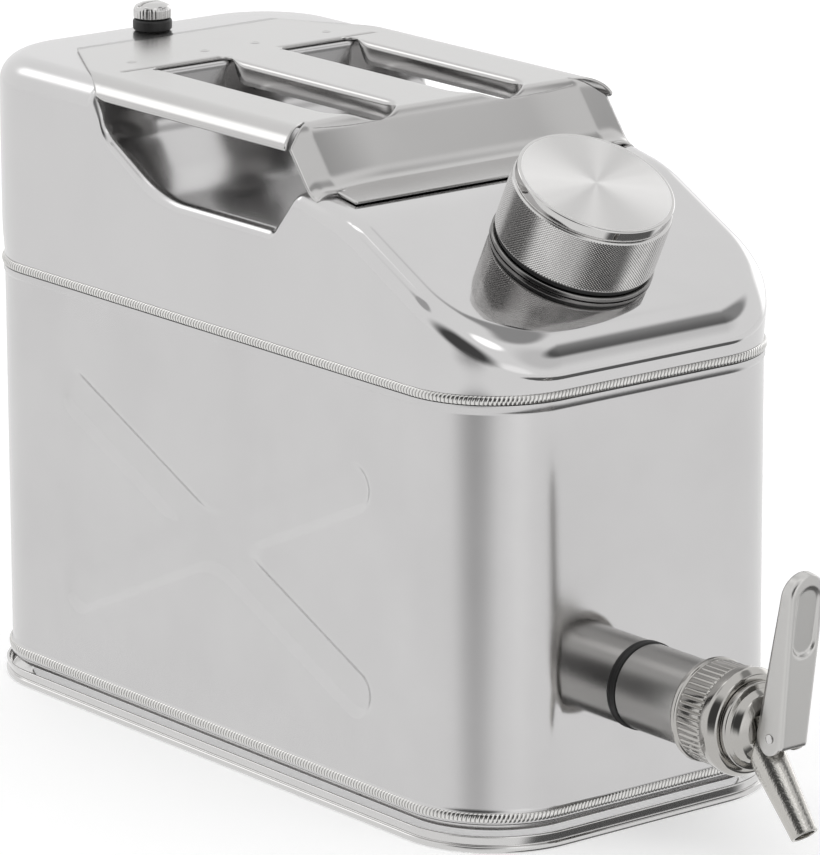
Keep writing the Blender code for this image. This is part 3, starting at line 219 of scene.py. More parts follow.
# Metal with the marks that its making left: a base colour, cloudy roughness and fine directional grain.
# grainSize is the grain's spacing along X, Y and Z in millimetres; a long side is the brushing's direction.
# A colour given for the hollows is painted into them as shade, where the wrap map's X is 0. Satin gives a
# polished spot's middle, two distances from it in metres, and how much rougher the metal is at the second.
def makeMetal(
    name, colour, darker, roughness, cloud, grainSize, grainHeight, spread=0.0, paintedHollowShade=None, satin=None
):
    finish = bpy.data.materials.new(name)
    finish.use_nodes = True
    tree = finish.node_tree
    tree.nodes.clear()
    place = addNode(tree, "ShaderNodeTexCoord").outputs["Object"]
    cloudMap = addNode(tree, "ShaderNodeTexNoise", values=cloudNoise, links={"Vector": place})
    rough = addNode(
        tree,
        "ShaderNodeMapRange",
        values={**cloudRange, "To Min": roughness - cloud / 2, "To Max": roughness + cloud / 2},
        links={"Value": cloudMap.outputs["Fac"]},
    )
    if satin:
        centre, near, far, added = satin
        away = addNode(
            tree,
            "ShaderNodeVectorMath",
            attributes={"operation": "DISTANCE"},
            values={1: centre},
            links={0: place},
        )
        worn = addNode(
            tree,
            "ShaderNodeMapRange",
            attributes={"interpolation_type": "SMOOTHSTEP"},
            values={"From Min": near, "From Max": far, "To Min": 0.0, "To Max": added},
            links={"Value": away.outputs["Value"]},
        )
        rough = addNode(
            tree,
            "ShaderNodeMath",
            attributes={"operation": "ADD"},
            links={0: rough.outputs[0], 1: worn.outputs[0]},
        )
    grainPlace = addNode(
        tree,
        "ShaderNodeMapping",
        attributes={"vector_type": "POINT"},
        values={"Scale": [1000 / size for size in grainSize]},
        links={"Vector": place},
    )
    grain = addNode(
        tree,
        "ShaderNodeTexNoise",
        values={"Scale": 1, "Detail": 2, "Roughness": 0.5},
        links={"Vector": grainPlace.outputs[0]},
    )
    tint = addNode(
        tree,
        "ShaderNodeMix",
        attributes={"data_type": "RGBA"},
        values={mixFirst: linear(darker), mixSecond: linear(colour)},
        links={"Factor": cloudMap.outputs["Fac"]},
    )
    # Painted shade: the hollows' dark colour is mixed in where the wrap map's X is low
    if paintedHollowShade:
        wrap = addNode(tree, "ShaderNodeUVMap", attributes={"uv_map": "wrap"})
        paintedShadeMap = addNode(tree, "ShaderNodeSeparateXYZ", links={"Vector": wrap.outputs[0]})
        tint = addNode(
            tree,
            "ShaderNodeMix",
            attributes={"data_type": "RGBA"},
            values={mixFirst: linear(paintedHollowShade)},
            links={0: paintedShadeMap.outputs["X"], mixSecond: tint.outputs[mixColour]},
        )
    bump = addNode(
        tree,
        "ShaderNodeBump",
        values={"Strength": 1.0, "Distance": grainHeight * 0.001},
        links={"Height": grain.outputs["Fac"]},
    )
    shader = addNode(
        tree,
        "ShaderNodeBsdfPrincipled",
        values={"Metallic": 1.0, "Anisotropic": spread},
        links={
            "Base Color": tint.outputs[mixColour],
            "Roughness": rough.outputs[0],
            "Normal": bump.outputs[0],
        },
    )
    if spread:
        around = addNode(
            tree, "ShaderNodeTangent", attributes={"direction_type": "UV_MAP", "uv_map": "wrap"}
        )
        tree.links.new(around.outputs[0], shader.inputs["Tangent"])
        shader.inputs["Anisotropic Rotation"].default_value = acrossGrooves
    addNode(tree, "ShaderNodeOutputMaterial", links={"Surface": shader.outputs[0]})
    return finish


tapSpot = (0, shellLow.y, 0.056)  # where the tap meets the wall, in metres
aheadSpot = (0, -1, 0.2)  # in metres, far ahead of the can: distance from it grows toward the rear
fineGrain = (0.5, 0.5, 0.5)
softGrain = (0.6, 0.6, 0.6)

# 304 stainless sheet, drawn and then satin brushed: soft reflections, and a polished spot round the tap
satinSheet = makeMetal(
    "satinBrushedSheet",
    "#cdcccc",
    "#c1c0c0",
    0.07,
    0.03,
    (0.5, 14, 0.5),
    0.0006,
    satin=(tapSpot, 0.038, 0.060, 0.14),
)
# The same sheet polished round the filler, near-mirror there and satin behind it
polishedSheet = makeMetal(
    "polishedDrawnSheet",
    "#cdcccc",
    "#c6c5c5",
    0.06,
    0.03,
    softGrain,
    0.0006,
    satin=(aheadSpot, 0.955, 0.995, 0.15),
)
# Polished pressed plate, a little darker
plateSheet = makeMetal("polishedPlateSheet", "#c4c3c2", "#bdbcbb", 0.20, 0.06, (0.6, 9, 0.6), 0.0008)
# Rolled foot band, bright
brightBand = makeMetal("brightRolledBand", "#cfcecd", "#c7c6c5", 0.09, 0.03, softGrain, 0.0006)
# Weld metal: small frozen ripples; their crests keep the weld's colour, and a painted shade darkens the
# hollows between them
weldMetalPaintedShade = makeMetal("weldMetalPaintedShade", "#dddcda", "#d0cfcd", 0.14, 0.06, fineGrain, 0.002, paintedHollowShade="#4a4845")
# Machined stainless cap: sharp knurl and mirror bands
knurledSteel = makeMetal("knurledSteel", "#cbcac9", "#bbbab9", 0.12, 0.02, (0.4, 0.4, 0.4), 0.001)
polishedSteel = makeMetal("polishedTurnedSteel", "#cdcccb", "#c6c5c4", 0.06, 0.02, fineGrain, 0.0004)
# Turned steel with painted shade: a darker copy of the polished steel, for the neck's flange under the cap
paintedShadeSteel = makeMetal("turnedSteelPaintedShade", "#8b8a89", "#807f7e", 0.07, 0.02, fineGrain, 0.0004)
# Lathe-faced steel, whose rings spread the light across them
facedSteel = makeMetal(
    "latheFacedSteel", "#f3f2f1", "#eeedec", 0.46, 0.02, (0.4, 0.4, 0.4), 0.0004, spread=1.0
)
# Sleeve turned and brushed round its axis
turnedSteel = makeMetal(
    "brushedTurnedSteel", "#bab9b7", "#aaa9a7", 0.24, 0.04, (0.4, 0.12, 0.4), 0.003, spread=0.8
)
# Nickel-plated brass: smooth on the turned parts, grainy where it was cast
nickelPlate = makeMetal("nickelPlatedBrass", "#b9b7b4", "#a9a7a3", 0.10, 0.05, (0.8, 0.8, 0.8), 0.006)
castNickel = makeMetal("castNickel", "#c6c4c0", "#b4b2ad", 0.17, 0.08, (0.9, 0.9, 0.9), 0.12)
# Satin zinc casting: light and even
satinZinc = makeMetal("satinZincLever", "#cbcac8", "#c3c2c0", 0.30, 0.04, (0.7, 0.7, 0.7), 0.006)

# Darkest and lightest shade of the rubber, and its grain, whose height is in metres
rubberLook = {"low": "#141414", "high": "#2a2a2a", "grainPerMetre": 900, "grainHeight": 0.00005}


# Moulded rubber: dark, matt, with a fine dusty grain
def makeRubber():
    finish = bpy.data.materials.new("mouldedRubber")
    finish.use_nodes = True
    tree = finish.node_tree
    tree.nodes.clear()
    place = addNode(tree, "ShaderNodeTexCoord").outputs["Object"]
    dust = addNode(
        tree,
        "ShaderNodeTexNoise",
        values={"Scale": rubberLook["grainPerMetre"], "Detail": 3},
        links={"Vector": place},
    )
    tone = addNode(tree, "ShaderNodeValToRGB", links={"Fac": dust.outputs["Fac"]})
    for element, shade in zip(tone.color_ramp.elements, ("low", "high")):
        element.color = linear(rubberLook[shade])
    bump = addNode(
        tree,
        "ShaderNodeBump",
        values={"Strength": 0.4, "Distance": rubberLook["grainHeight"]},
        links={"Height": dust.outputs["Fac"]},
    )
    shader = addNode(
        tree,
        "ShaderNodeBsdfPrincipled",
        values={"Roughness": 0.5, "IOR": 1.5},
        links={"Base Color": tone.outputs[0], "Normal": bump.outputs[0]},
    )
    addNode(tree, "ShaderNodeOutputMaterial", links={"Surface": shader.outputs[0]})
    return finish


rubber = makeRubber()
print("materials made")

# The can

shellBead = 0.9  # the shells' widest rows stand this far out of the straight wall
can = {
    "halfWidth": round(shellHigh.x * 1000 - shellBead, 3),
    "halfLength": round((shellHigh.y - shellLow.y) * 500 - shellBead, 3),
    "cornerRadius": 40.6,
    "cornerMargin": 0.3,  # a last station this near each corner keeps the flat walls' shading flat
    "sheet": 1.0,
    "seamZ": 177.2,
    "deckZ": 265.7,
    "slopeAngle": math.radians(26.5),
}
halfWidth, halfLength, cornerRadius = can["halfWidth"], can["halfLength"], can["cornerRadius"]


# The footprint's ring: a rectangle with round corners, from the rear middle over the right side to the
# front middle and back over the left. Gives its points and outward normals.
def footprintRing(stations, cornerSteps=22, endSteps=9):
    hx, hy = halfWidth - cornerRadius, halfLength - cornerRadius
    end = np.append(np.linspace(0, hx, endSteps + 1)[:-1], hx - can["cornerMargin"])
    turn = np.linspace(math.pi / 2, 0, cornerSteps + 1)
    c, s = np.cos(turn), np.sin(turn)
    corner = np.column_stack((hx + cornerRadius * c, hy + cornerRadius * s, c, s))
    rear = np.column_stack((end, 0 * end + halfLength, 0 * end, 0 * end + 1))
    side = np.column_stack((0 * stations + halfWidth, stations, 0 * stations + 1, 0 * stations))
    flip = [1, -1, 1, -1]
    front = np.vstack(((corner * flip)[::-1], (rear * flip)[::-1]))
    right = np.vstack((rear, corner, side, front))
    left = (right * [-1, 1, -1, 1])[::-1]
    return np.vstack((right, left))


# Places along the long side that crowd where weight is high.
def crowded(start, end, count, weight):
    fine = np.linspace(start, end, 4000)
    share = np.cumsum(weight(fine))
    share = (share - share[0]) / (share[-1] - share[0])
    return np.interp(np.linspace(0, 1, count + 2)[1:-1], share, fine)


# Sweeps (outset, z) rows round the ring, shifted along the ring's normals.
def sweptRing(ring, outsets, heights):
    outsets, heights = np.asarray(outsets, float), np.asarray(heights, float)
    x = ring[None, :, 0] + outsets * ring[None, :, 2]
    y = ring[None, :, 1] + outsets * ring[None, :, 3]
    return np.stack((x, y, np.broadcast_to(heights, x.shape)), -1)


lower = {
    "bottomZ": 13.2,
    "ledgeHeight": 2.8,
    "ledgeOutset": 0.5,
    "stations": 174,  # columns along each long side
    "wallRows": 112,
    "crossZ": 92.0,
    "crossReach": 109.0,
    "crossAngle": math.radians(24.2),
    "crossHalfWidth": 8.0,
    "crotchRadius": 9.0,
    "crossDepth": 2.1,
    "sideRun": 6.2,
    "outerShare": 0.6,  # of the run that lies outside the cross's outline
}


# How deep the cross is pressed at a place of the side: two crossed bars with round ends, joined by a
# soft crotch, whose signed distance runs through a smooth step.
def crossDepth(y, z):
    reach = lower["crossReach"] - lower["crossHalfWidth"]
    distance = None
    for tilt in (lower["crossAngle"], -lower["crossAngle"]):
        along = y * math.cos(tilt) + (z - lower["crossZ"]) * math.sin(tilt)
        across = -y * math.sin(tilt) + (z - lower["crossZ"]) * math.cos(tilt)
        bar = np.hypot(np.maximum(np.abs(along) - reach, 0), across) - lower["crossHalfWidth"]
        distance = bar if distance is None else softMin(distance, bar, lower["crotchRadius"])
    run = lower["sideRun"]
    return lower["crossDepth"] * smoothStep((lower["outerShare"] * run - distance) / run)


# The lower shell: (outset, z) rows from the bead at its foot to the ledge under the seam, with the cross
# pressed into both sides, and coarser rows one sheet further in for its inner face
def buildLowerShell():
    reach, margin = halfLength - cornerRadius, can["cornerMargin"]
    stations = np.linspace(reach, -reach, lower["stations"])[1:-1]
    ring = footprintRing(np.concatenate(([reach - margin], stations, [margin - reach])))
    low, top, bead, ledge = lower["bottomZ"], can["seamZ"], shellBead, lower["ledgeOutset"]
    rows = [
        (bead - 0.3, low),
        (bead, low + 0.4),
        (bead, low + 1.4),
        (bead * 0.6, low + 2.1),
        (bead * 0.15, low + 2.6),
        (0, low + 3.2),
    ]
    rows += [(0, z) for z in np.linspace(low + 4, top - lower["ledgeHeight"] - 1, lower["wallRows"])]
    rows += [(0, top - 3.1), (ledge * 0.5, top - 2.8), (ledge, top - 2.4), (ledge, top)]
    rows = np.array(rows)
    outer = sweptRing(ring, rows[:, :1], rows[:, 1:])
    onSide = np.abs(ring[:, 2]) > 0.999
    outer[:, :, 0] -= onSide * ring[:, 2] * crossDepth(outer[:, :, 1], outer[:, :, 2])
    inner = outer[::-4] - can["sheet"] * np.append(ring[:, 2:], 0 * ring[:, :1], 1)
    grid = np.vstack((outer, inner, outer[:1]))
    piece = addSurface("lowerShell", grid, satinSheet, "can", sharp=50)
    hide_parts("lower_shell")


buildLowerShell()
print("lower shell made")

weld = {
    "pitch": 1.7,
    "columnsPerRipple": 6,
    "ripple": 0.38,
    "slant": 0.55,
    "bow": 1.1,
    "wobbles": ((0.12, 11.3, 0), (0.08, 3.7, 1)),  # size, length and start of two slow waves
    "rootDepth": 0.5,
    # Where the painted shade in the ripples' hollows fades toward the crests, and over how wide a span
    "paintedShadeStart": 0.15,
    "paintedShadeSpan": 0.5,
}
# Lower and upper edge of each bead, how far it swells and how far its edges stand out of the wall
beads = {"seamWeld": (177.4, 181.0, 0.75, 0.45), "footWeld": (11.6, 15.4, 0.6, 0.85)}


# A weld bead round the can: a half-round band whose height is rippled by nested slanted crescents. With
# crest = |sin(pi (s / pitch + slant v + bow (v - 1/2)^2))|^0.8 and v from edge to edge, the outset is
# base + (swell + 0.4 wobble) sin(pi v)^0.7 + ripple (crest - 1) sin(pi v)^0.35.
def buildWeld(name, lowZ, highZ, swell, base):
    reach = halfLength - cornerRadius
    perimeter = 4 * reach + 4 * (halfWidth - cornerRadius) + math.tau * cornerRadius
    count = int(perimeter / weld["pitch"]) * weld["columnsPerRipple"]
    coarse = footprintRing(np.linspace(reach, -reach, 300)[1:-1], 60)
    run = np.append(0, np.hypot(*np.diff(coarse[:, :2], axis=0).T)).cumsum()
    s = np.linspace(0, run[-1], count)
    ring = np.column_stack([np.interp(s, run, coarse[:, i]) for i in range(4)])
    v = np.linspace(0, 1, 9)[:, None]
    phase = s[None, :] / (run[-1] / round(run[-1] / weld["pitch"]))
    wobble = sum(size * np.sin(s / length + start) for size, length, start in weld["wobbles"])[None, :]
    crest = np.abs(np.sin(math.pi * (phase + weld["slant"] * v + weld["bow"] * (v - 0.5) ** 2))) ** 0.8
    ripple = weld["ripple"] * (crest - 1) * np.sin(math.pi * v) ** 0.35
    outsets = base + (swell + wobble * 0.4) * np.sin(math.pi * v) ** 0.7 + ripple
    heights = lowZ + (highZ - lowZ) * v + wobble * np.sin(math.pi * v)
    outer = sweptRing(ring, outsets, heights)
    inner = sweptRing(ring, 0 * outsets - weld["rootDepth"], heights)[::-8]
    # Map of the painted shade: 0 in the ripples' hollows, 1 on their crests
    paintedShadeMap = np.stack((smoothStep((crest - weld["paintedShadeStart"]) / weld["paintedShadeSpan"]), v + 0 * crest), -1)
    wrap = np.vstack((paintedShadeMap, paintedShadeMap[::-8], paintedShadeMap[:1]))
    piece = addSurface(name, np.vstack((outer, inner, outer[:1])), weldMetalPaintedShade, "can", wrap, sharp=80)


for beadName, beadSizes in beads.items():
    buildWeld(beadName, *beadSizes)
print("weld beads made")

upper = {
    "hollowZ": 226.5,
    "hollowRearY": 77.5,
    "hollowFrontY": -42.4,
    "rearFootIn": 9.5,  # the hollow's steep rear ends this far forward of its edge,
    "rearFootShare": 0.49,  # at this share of its height,
    "rearRun": 35.0,  # and runs out to the bottom over this length
    "lipY": -56.6,
    "lipZ": 244.2,
    "lipFall": math.radians(9.3),
    "slopeY": -88.0,
    "rearEdge": 12.0,
    "hollowEdge": 4.5,
    "lipEdge": 9.0,
    "frontEdge": 12.0,
    "weldTop": 180.5,
    "bulge": 0.8,
    "bulgeRun": 14.5,
    "stations": 230,
    "bendCrowding": 7,
}
slopeStartZ = upper["lipZ"] + (upper["slopeY"] - upper["lipY"]) * math.tan(upper["lipFall"])


def slopeZ(y):
    return slopeStartZ + (y - upper["slopeY"]) * math.tan(can["slopeAngle"])


rearFootY = upper["hollowRearY"] - upper["rearFootIn"]
rearFootZ = upper["hollowZ"] + (can["deckZ"] - upper["hollowZ"]) * upper["rearFootShare"]
crown = roundedLine(
    [
        (halfLength, can["deckZ"]),
        (upper["hollowRearY"], can["deckZ"], 3.0),
        (rearFootY, rearFootZ, 15),
        (rearFootY - upper["rearRun"], upper["hollowZ"], 60),
        (upper["hollowFrontY"], upper["hollowZ"], 6),
        (upper["lipY"], upper["lipZ"], 5),
        (upper["slopeY"], slopeStartZ, 50),
        (-halfLength - 5, slopeZ(-halfLength - 5)),
    ],
    14,
)


# The shell's height over a place of its plan, away from its rounded edge
def crownZ(y):
    return np.interp(y, crown[::-1, 0], crown[::-1, 1])


# Radius of the shell's rounded edge along the can, from the front to the rear
def edgeRadius(y):
    rear = upper["hollowRearY"]
    knots = (
        (-halfLength, upper["frontEdge"]),
        (upper["slopeY"] - 60, upper["lipEdge"]),
        (upper["slopeY"], upper["lipEdge"]),
        (upper["hollowFrontY"], upper["hollowEdge"]),
        (rear - 6, upper["hollowEdge"]),
        (rear + 2.5, upper["rearEdge"]),
    )
    return np.interp(y, *zip(*knots))


# How densely the stations stand along the side: they crowd where the crown line bends
def bendWeight(y):
    return 1 + upper["bendCrowding"] * np.exp(-((y[:, None] - crown[1:-1, 0]) ** 2) / 8).max(1)


# The upper shell: wall rows with a slight bulge, then a quarter round of radius r(y) that leans on the
# crown line, then straight runs to the spine
def buildUpperShell():
    reach = halfLength - cornerRadius
    ring = footprintRing(crowded(reach, -reach, upper["stations"], bendWeight))
    x0, y0, nx, ny = ring.T
    radius = edgeRadius(y0)
    turn = np.linspace(0, math.pi / 2, 13)[:, None]
    sink = radius * (1 - np.cos(turn)) - upper["bulge"] * np.cos(turn)
    edgeX, edgeY = x0 - nx * sink, y0 - ny * sink
    edge = np.stack((edgeX, edgeY, crownZ(edgeY) - radius * (1 - np.sin(turn))), -1)
    share = np.linspace(0, 1, 14)[:, None]
    wallZ = upper["weldTop"] + (edge[0, :, 2] - upper["weldTop"]) * share[:-1]
    outset = upper["bulge"] * smoothStep((wallZ - upper["weldTop"]) / upper["bulgeRun"])
    wall = np.stack((x0 + nx * outset, y0 + ny * outset, wallZ), -1)
    hem = sweptRing(ring, [[0.0]], [[can["seamZ"] + 0.3]])
    spineY = np.clip(y0, -(halfLength - halfWidth), halfLength - halfWidth)
    inward = np.linspace(0, 1, 12)[1:, None]
    topX = edge[-1, :, 0] * (1 - inward)
    topY = edge[-1, :, 1] + (spineY - edge[-1, :, 1]) * inward
    top = np.stack((topX, topY, crownZ(topY)), -1)
    grid = np.vstack((hem, wall, edge, top))
    piece = addSurface("upperShell", grid, polishedSheet, "can", sharp=60)
    thicken(piece, can["sheet"])
    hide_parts("upper_shell")


buildUpperShell()
print("upper shell made")

foot = {
    "top": 6.8,
    "outset": 2.9,
    "lean": 1.1,
    "panReach": 36.0,  # the pan's rounded rows reach this far in from the wall,
    "panSpine": 86.0,  # and its flat bottom closes on a spine of this half-length
}


# The foot band and the pan above it: one rounded section each, carried round the footprint
def buildFoot():
    reach = halfLength - cornerRadius
    ring = footprintRing(np.linspace(reach, -reach, 30)[1:-1], 40)
    out, top = foot["outset"], foot["top"]
    band = roundedLine(
        [
            (-7.2, 1.2),
            (-8.4, 0.6),
            (-8.4, 0.0),
            (out, 0.0, 1.2),
            (out, 2.5, 0.6),
            (out - foot["lean"], 2.9, 0.2),
            (out, top, 0.4),
            (out - 1.2, top, 0.3),
            (out - 2.4, 1.8, 0.4),
            (-7.2, 1.2),
        ],
        6,
    )
    piece = addSurface("footBand", sweptRing(ring, band[:, :1], band[:, 1:]), brightBand, "can")
    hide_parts("foot_band")
    pan = roundedLine(
        [
            (-60, 7.6),
            (0.0, 7.6, 3.2),
            (0.0, 10.7, 0.3),
            (1.0, 11.3, 0.3),
            (1.0, 13.1, 0.3),
            (-1.0, 13.1),
            (-1.0, 8.8, 2.0),
            (-60, 8.6),
        ],
        6,
    )
    panX, panZ = pan[:, :1], pan[:, 1:]
    grid = sweptRing(ring, np.minimum(np.abs(panX), foot["panReach"]) * np.sign(panX), panZ)
    deep = pan[:, 0] < -foot["panReach"]
    spineY = np.clip(ring[:, 1], -foot["panSpine"], foot["panSpine"])
    grid[deep] = np.stack(np.broadcast_arrays(0 * ring[:, 0], spineY, panZ[deep]), -1)
    piece = addSurface("basePan", grid, satinSheet, "can")
    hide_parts("base_pan")


buildFoot()
print("foot band and pan made")

# Carrying plate

plate = {
    "top": 267.0,
    "sheet": 1.0,
    "rearY": 133.0,
    "rearHalf": 50.0,
    "taperY": 75.0,
    "flatHalf": 71.3,
    "rollRadius": 13.3,
    "slotInner": 13.5,
    "slotOuter": 51.0,
    "slotRear": 80.0,
    "slotFront": -46.0,
    "slotCorner": 3.0,
    "rimRoll": 2.5,
    "rimDepth": 9.0,
    "rimStart": 74.0,
    "rimRunIn": 12.0,
    "rimRunOut": 20.0,
    "rimLeast": 0.25,  # share of the rim's depth that is left at the slot's front end
    "bendY": -43.5,
    "bendAngle": math.radians(52.0),
    "bendSoftness": 3.5,
    "crestX": 67.5,
    "crestRise": 2.0,
    "crestFall": 0.05,
    "restGap": 1.6,
    "slitX": 66.5,
    "slitY": -41.5,
    "slitEndY": -50.5,
    "slitWidth": 0.7,
    "earHalf": 80.0,
    "earEnd": -67.2,
    "footY": -79.0,
    "footHalf": 70.0,
    "lip": 2.0,
    "weldX": (-50, -13, 13, 50),
    "weldY": 95.0,
}
slotHalf = (plate["slotOuter"] - plate["slotInner"]) / 2
slotMiddle = (plate["slotOuter"] + plate["slotInner"]) / 2
slitSlant = (plate["slitEndY"] - plate["slitY"]) / (halfWidth - plate["slitX"])


# Height of the plate's upper face in front of the slit: the flat top bends into the flange, whose sides
# rise to the crests, and the flange comes to rest on the can's shoulder.
def flangeZ(x, y):
    side = np.abs(x)
    crestX, edge = plate["crestX"], upper["lipEdge"]
    rise = plate["crestRise"] * np.clip((side - 0.6 * crestX) / (0.4 * crestX), 0, 1) ** 2
    rise = rise - plate["crestFall"] * np.maximum(side - crestX, 0)
    sheet = plate["top"] - (plate["bendY"] - y) * math.tan(plate["bendAngle"]) + rise
    short = np.clip(edge - (halfWidth - side), 0, edge)
    shoulder = upper["lipZ"] + (y - upper["lipY"]) * math.tan(upper["lipFall"])
    shoulder = shoulder - edge + np.sqrt(edge**2 - short**2) + plate["restGap"]
    sheet = softMax(sheet, shoulder, plate["bendSoftness"])
    return softMin(plate["top"] + 0 * sheet, sheet, plate["bendSoftness"])


def plateZ(x, y):
    return np.minimum(flangeZ(x, y), plate["top"])


# The rolled side: beyond the flat half-width the sheet follows a quarter round downward.
def rolledZ(x):
    roll = plate["rollRadius"]
    reach = np.clip(np.abs(x) - plate["flatHalf"], 0, roll)
    return plate["top"] - roll + np.sqrt(roll**2 - reach**2)


# Half-width of the plate, which narrows toward its rear end
def plateHalf(y):
    return np.interp(y, [plate["taperY"], plate["rearY"]], [halfWidth, plate["rearHalf"]])


# Both edges of a slot in X: small rear corners and a half-round front end
def slotEdges(y):
    corner = plate["slotCorner"]
    past = np.clip(y - plate["slotRear"] + corner, 0, corner)
    rear = corner - np.sqrt(np.clip(corner**2 - past**2, 0, None))
    into = np.clip(plate["slotFront"] + slotHalf - y, 0, slotHalf)
    front = slotHalf - np.sqrt(slotHalf**2 - into**2)
    inset = rear + front
    return slotMiddle - slotHalf + inset, slotMiddle + slotHalf - inset


# Share of the rim's full roll and depth along a slot
def rimFade(y):
    start = smoothStep((plate["rimStart"] + 3 - y) / plate["rimRunIn"])
    front = smoothStep((y - plate["slotFront"]) / plate["rimRunOut"])
    return start * (plate["rimLeast"] + (1 - plate["rimLeast"]) * front)


def buildPlate():
    corner = plate["slotRear"] - plate["slotCorner"] * (1 - np.sin(np.linspace(math.pi / 2, 0, 7)))
    swing = np.linspace(0, math.pi / 2, 20)
    roundEnd = plate["slotFront"] + slotHalf * (1 - np.cos(swing))[::-1]
    bars = np.linspace(corner[-1], roundEnd[0], 52)[1:-1]
    slotRows = np.unique(np.concatenate((corner, bars, roundEnd, [plate["slitY"]])))[::-1]
    rearRows = np.linspace(plate["rearY"], plate["slotRear"], 14)
    frontRows = np.linspace(plate["slotFront"], plate["footY"], 60)
    frontRows = np.unique(np.append(frontRows, plate["earEnd"] + 1.2))[::-1]

    grids = []
    for side in (1, -1):
        # Rear panel, from the middle out to the slit's line of X
        y = rearRows[:, None]
        edge = np.minimum(plate["slitX"], plateHalf(y))
        inner, outer = slotEdges(np.array(plate["slotRear"]))
        x = np.hstack(
            [
                np.linspace(0, inner, 9)[None, :-1] + 0 * y,
                np.linspace(inner, outer, 17)[None, :-1] + 0 * y,
                outer + (np.maximum(edge, outer) - outer) * np.linspace(0, 1, 9)[None, :],
            ]
        )
        grids.append(np.stack((side * x, y + 0 * x, plate["top"] + 0 * x), -1))

        # Middle bar and outer bar in the slot's rows, with their rims
        y = slotRows[:, None]
        inner, outer = slotEdges(y)
        x = inner * np.linspace(0, 1, 9)[None, :]
        grids.append(np.stack((side * x, y + 0 * x, plateZ(x, y)), -1))
        x = outer + (plate["slitX"] - outer) * np.linspace(0, 1, 12)[None, :]
        grids.append(np.stack((side * x, y + 0 * x, plateZ(x, y)), -1))
        fade = rimFade(y)
        for edge in (inner, outer):
            centreY = plate["slotFront"] + slotHalf
            towardX, towardY = slotMiddle - edge, np.maximum(centreY - y, 0)
            size = np.maximum(np.hypot(towardX, towardY), 1e-6)
            turn = np.linspace(0, math.pi / 2, 8)[None, :]
            roll = plate["rimRoll"] * fade
            reach = np.hstack((roll * np.sin(turn), roll + 0 * fade))
            drop = np.hstack((roll * (1 - np.cos(turn)), plate["rimDepth"] * fade))
            x = edge + towardX / size * reach
            rimY = y + towardY / size * reach
            grids.append(np.stack((side * x, rimY, plateZ(edge, y) - drop), -1))

        # The outer bar's rolled side, with its turned-in lip, back to the tapered corner
        y = np.append(rearRows, slotRows[slotRows < plate["slotRear"]])[:, None]
        y = y[y >= plate["slitY"] - 1e-6][:, None]
        wide = plateHalf(y)
        flat = np.minimum(plate["flatHalf"], wide)
        start = np.minimum(plate["slitX"], wide)
        turn = np.linspace(0, 1, 11)[None, :]
        swing = np.arcsin(np.clip((wide - flat) / plate["rollRadius"], 0, 1)) * turn
        level = start + (flat - start) * np.linspace(0, 1, 4)[None, :-1]
        x = np.hstack((level, flat + plate["rollRadius"] * np.sin(swing)))
        z = rolledZ(x)
        lip = plate["lip"] * smoothStep((plate["taperY"] + 2 - y) / 8)
        lipX = x[:, -1:] + lip * np.array([[0.12, 0.0, -0.45]])
        lipZ = z[:, -1:] - lip * np.array([[0.4, 0.85, 1.1]])
        x, z = np.hstack((x, lipX)), np.hstack((z, lipZ))
        grids.append(np.stack((side * x, y + 0 * x, z), -1))

        # The end of that bar, cut slantwise by the relief slit
        x, z = x[-1:], z[-1:]
        y = plate["slitY"] + slitSlant * (x - plate["slitX"]) * np.linspace(0, 1, 9)[:, None]
        grids.append(np.stack((side * (x + 0 * y), y, z + 0 * y), -1))

        # Flange from the middle out to the slit's line of X
        y = frontRows[:, None]
        near = slotMiddle * np.linspace(0, 1, 9)[None, :-1]
        far = slotMiddle + (plate["slitX"] - slotMiddle) * np.linspace(0, 1, 20)[None, :]
        x = np.hstack((near, far)) + 0 * y
        grids.append(np.stack((side * x, y + 0 * x, flangeZ(x, y)), -1))

        # Ear beyond the crest, below the slit
        ahead, ending = slotRows[slotRows < plate["slitY"] - 0.1], frontRows[frontRows >= plate["earEnd"]]
        y = np.unique(np.concatenate((ahead, ending)))[::-1][:, None]
        share = (y[0] - y) / (y[0] - y[-1])
        k = np.linspace(0, 1, 15)[None, :]
        x = plate["slitX"] + k * (plate["earHalf"] - plate["slitX"])
        earY = y + slitSlant * (x - plate["slitX"]) * (1 - share) - plate["slitWidth"]
        earY = earY * (k > 0) + y * (k == 0)
        grids.append(np.stack((side * (x + 0 * earY), earY, flangeZ(x + 0 * earY, earY)), -1))

        # The foot lip's short end
        y = frontRows[frontRows <= plate["earEnd"] + 1.3][:, None]
        x = plate["slitX"] + (plate["footHalf"] - plate["slitX"]) * np.linspace(0, 1, 4)[None, :] + 0 * y
        grids.append(np.stack((side * x, y + 0 * x, flangeZ(x, y)), -1))

    piece = addGrids("carryingPlate", grids, plateSheet, "can", sharp=50)
    thicken(piece, plate["sheet"])
    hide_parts("handle_plate")
    button = [(0, 0.03), (0.9, 0.05, 0.5), (1.5, 0.22, 0.4), (2.1, 0.02)]
    for x in plate["weldX"]:
        spot = (x, plate["weldY"], plate["top"])
        mark = addTurned("spotWeld", button, plateSheet, "can", spot, steps=40, sharp=0)


buildPlate()
print("carrying plate made")

# Vent

vent = {
    "y": 149.0,
    "ringBore": 4.8,
    "ringRadius": 8.2,
    "ringLow": 0.3,
    "ringTop": 5.1,
    "headGap": 0.3,
    "headRadius": 7.9,
    "headHeight": 6.9,
    "stemRadius": 2.3,
    "stemLength": 10.5,
    "ridges": 32,
    "ridgeDepth": 0.22,
    "slotWidth": 1.6,
    "slotDepth": 1.4,
}


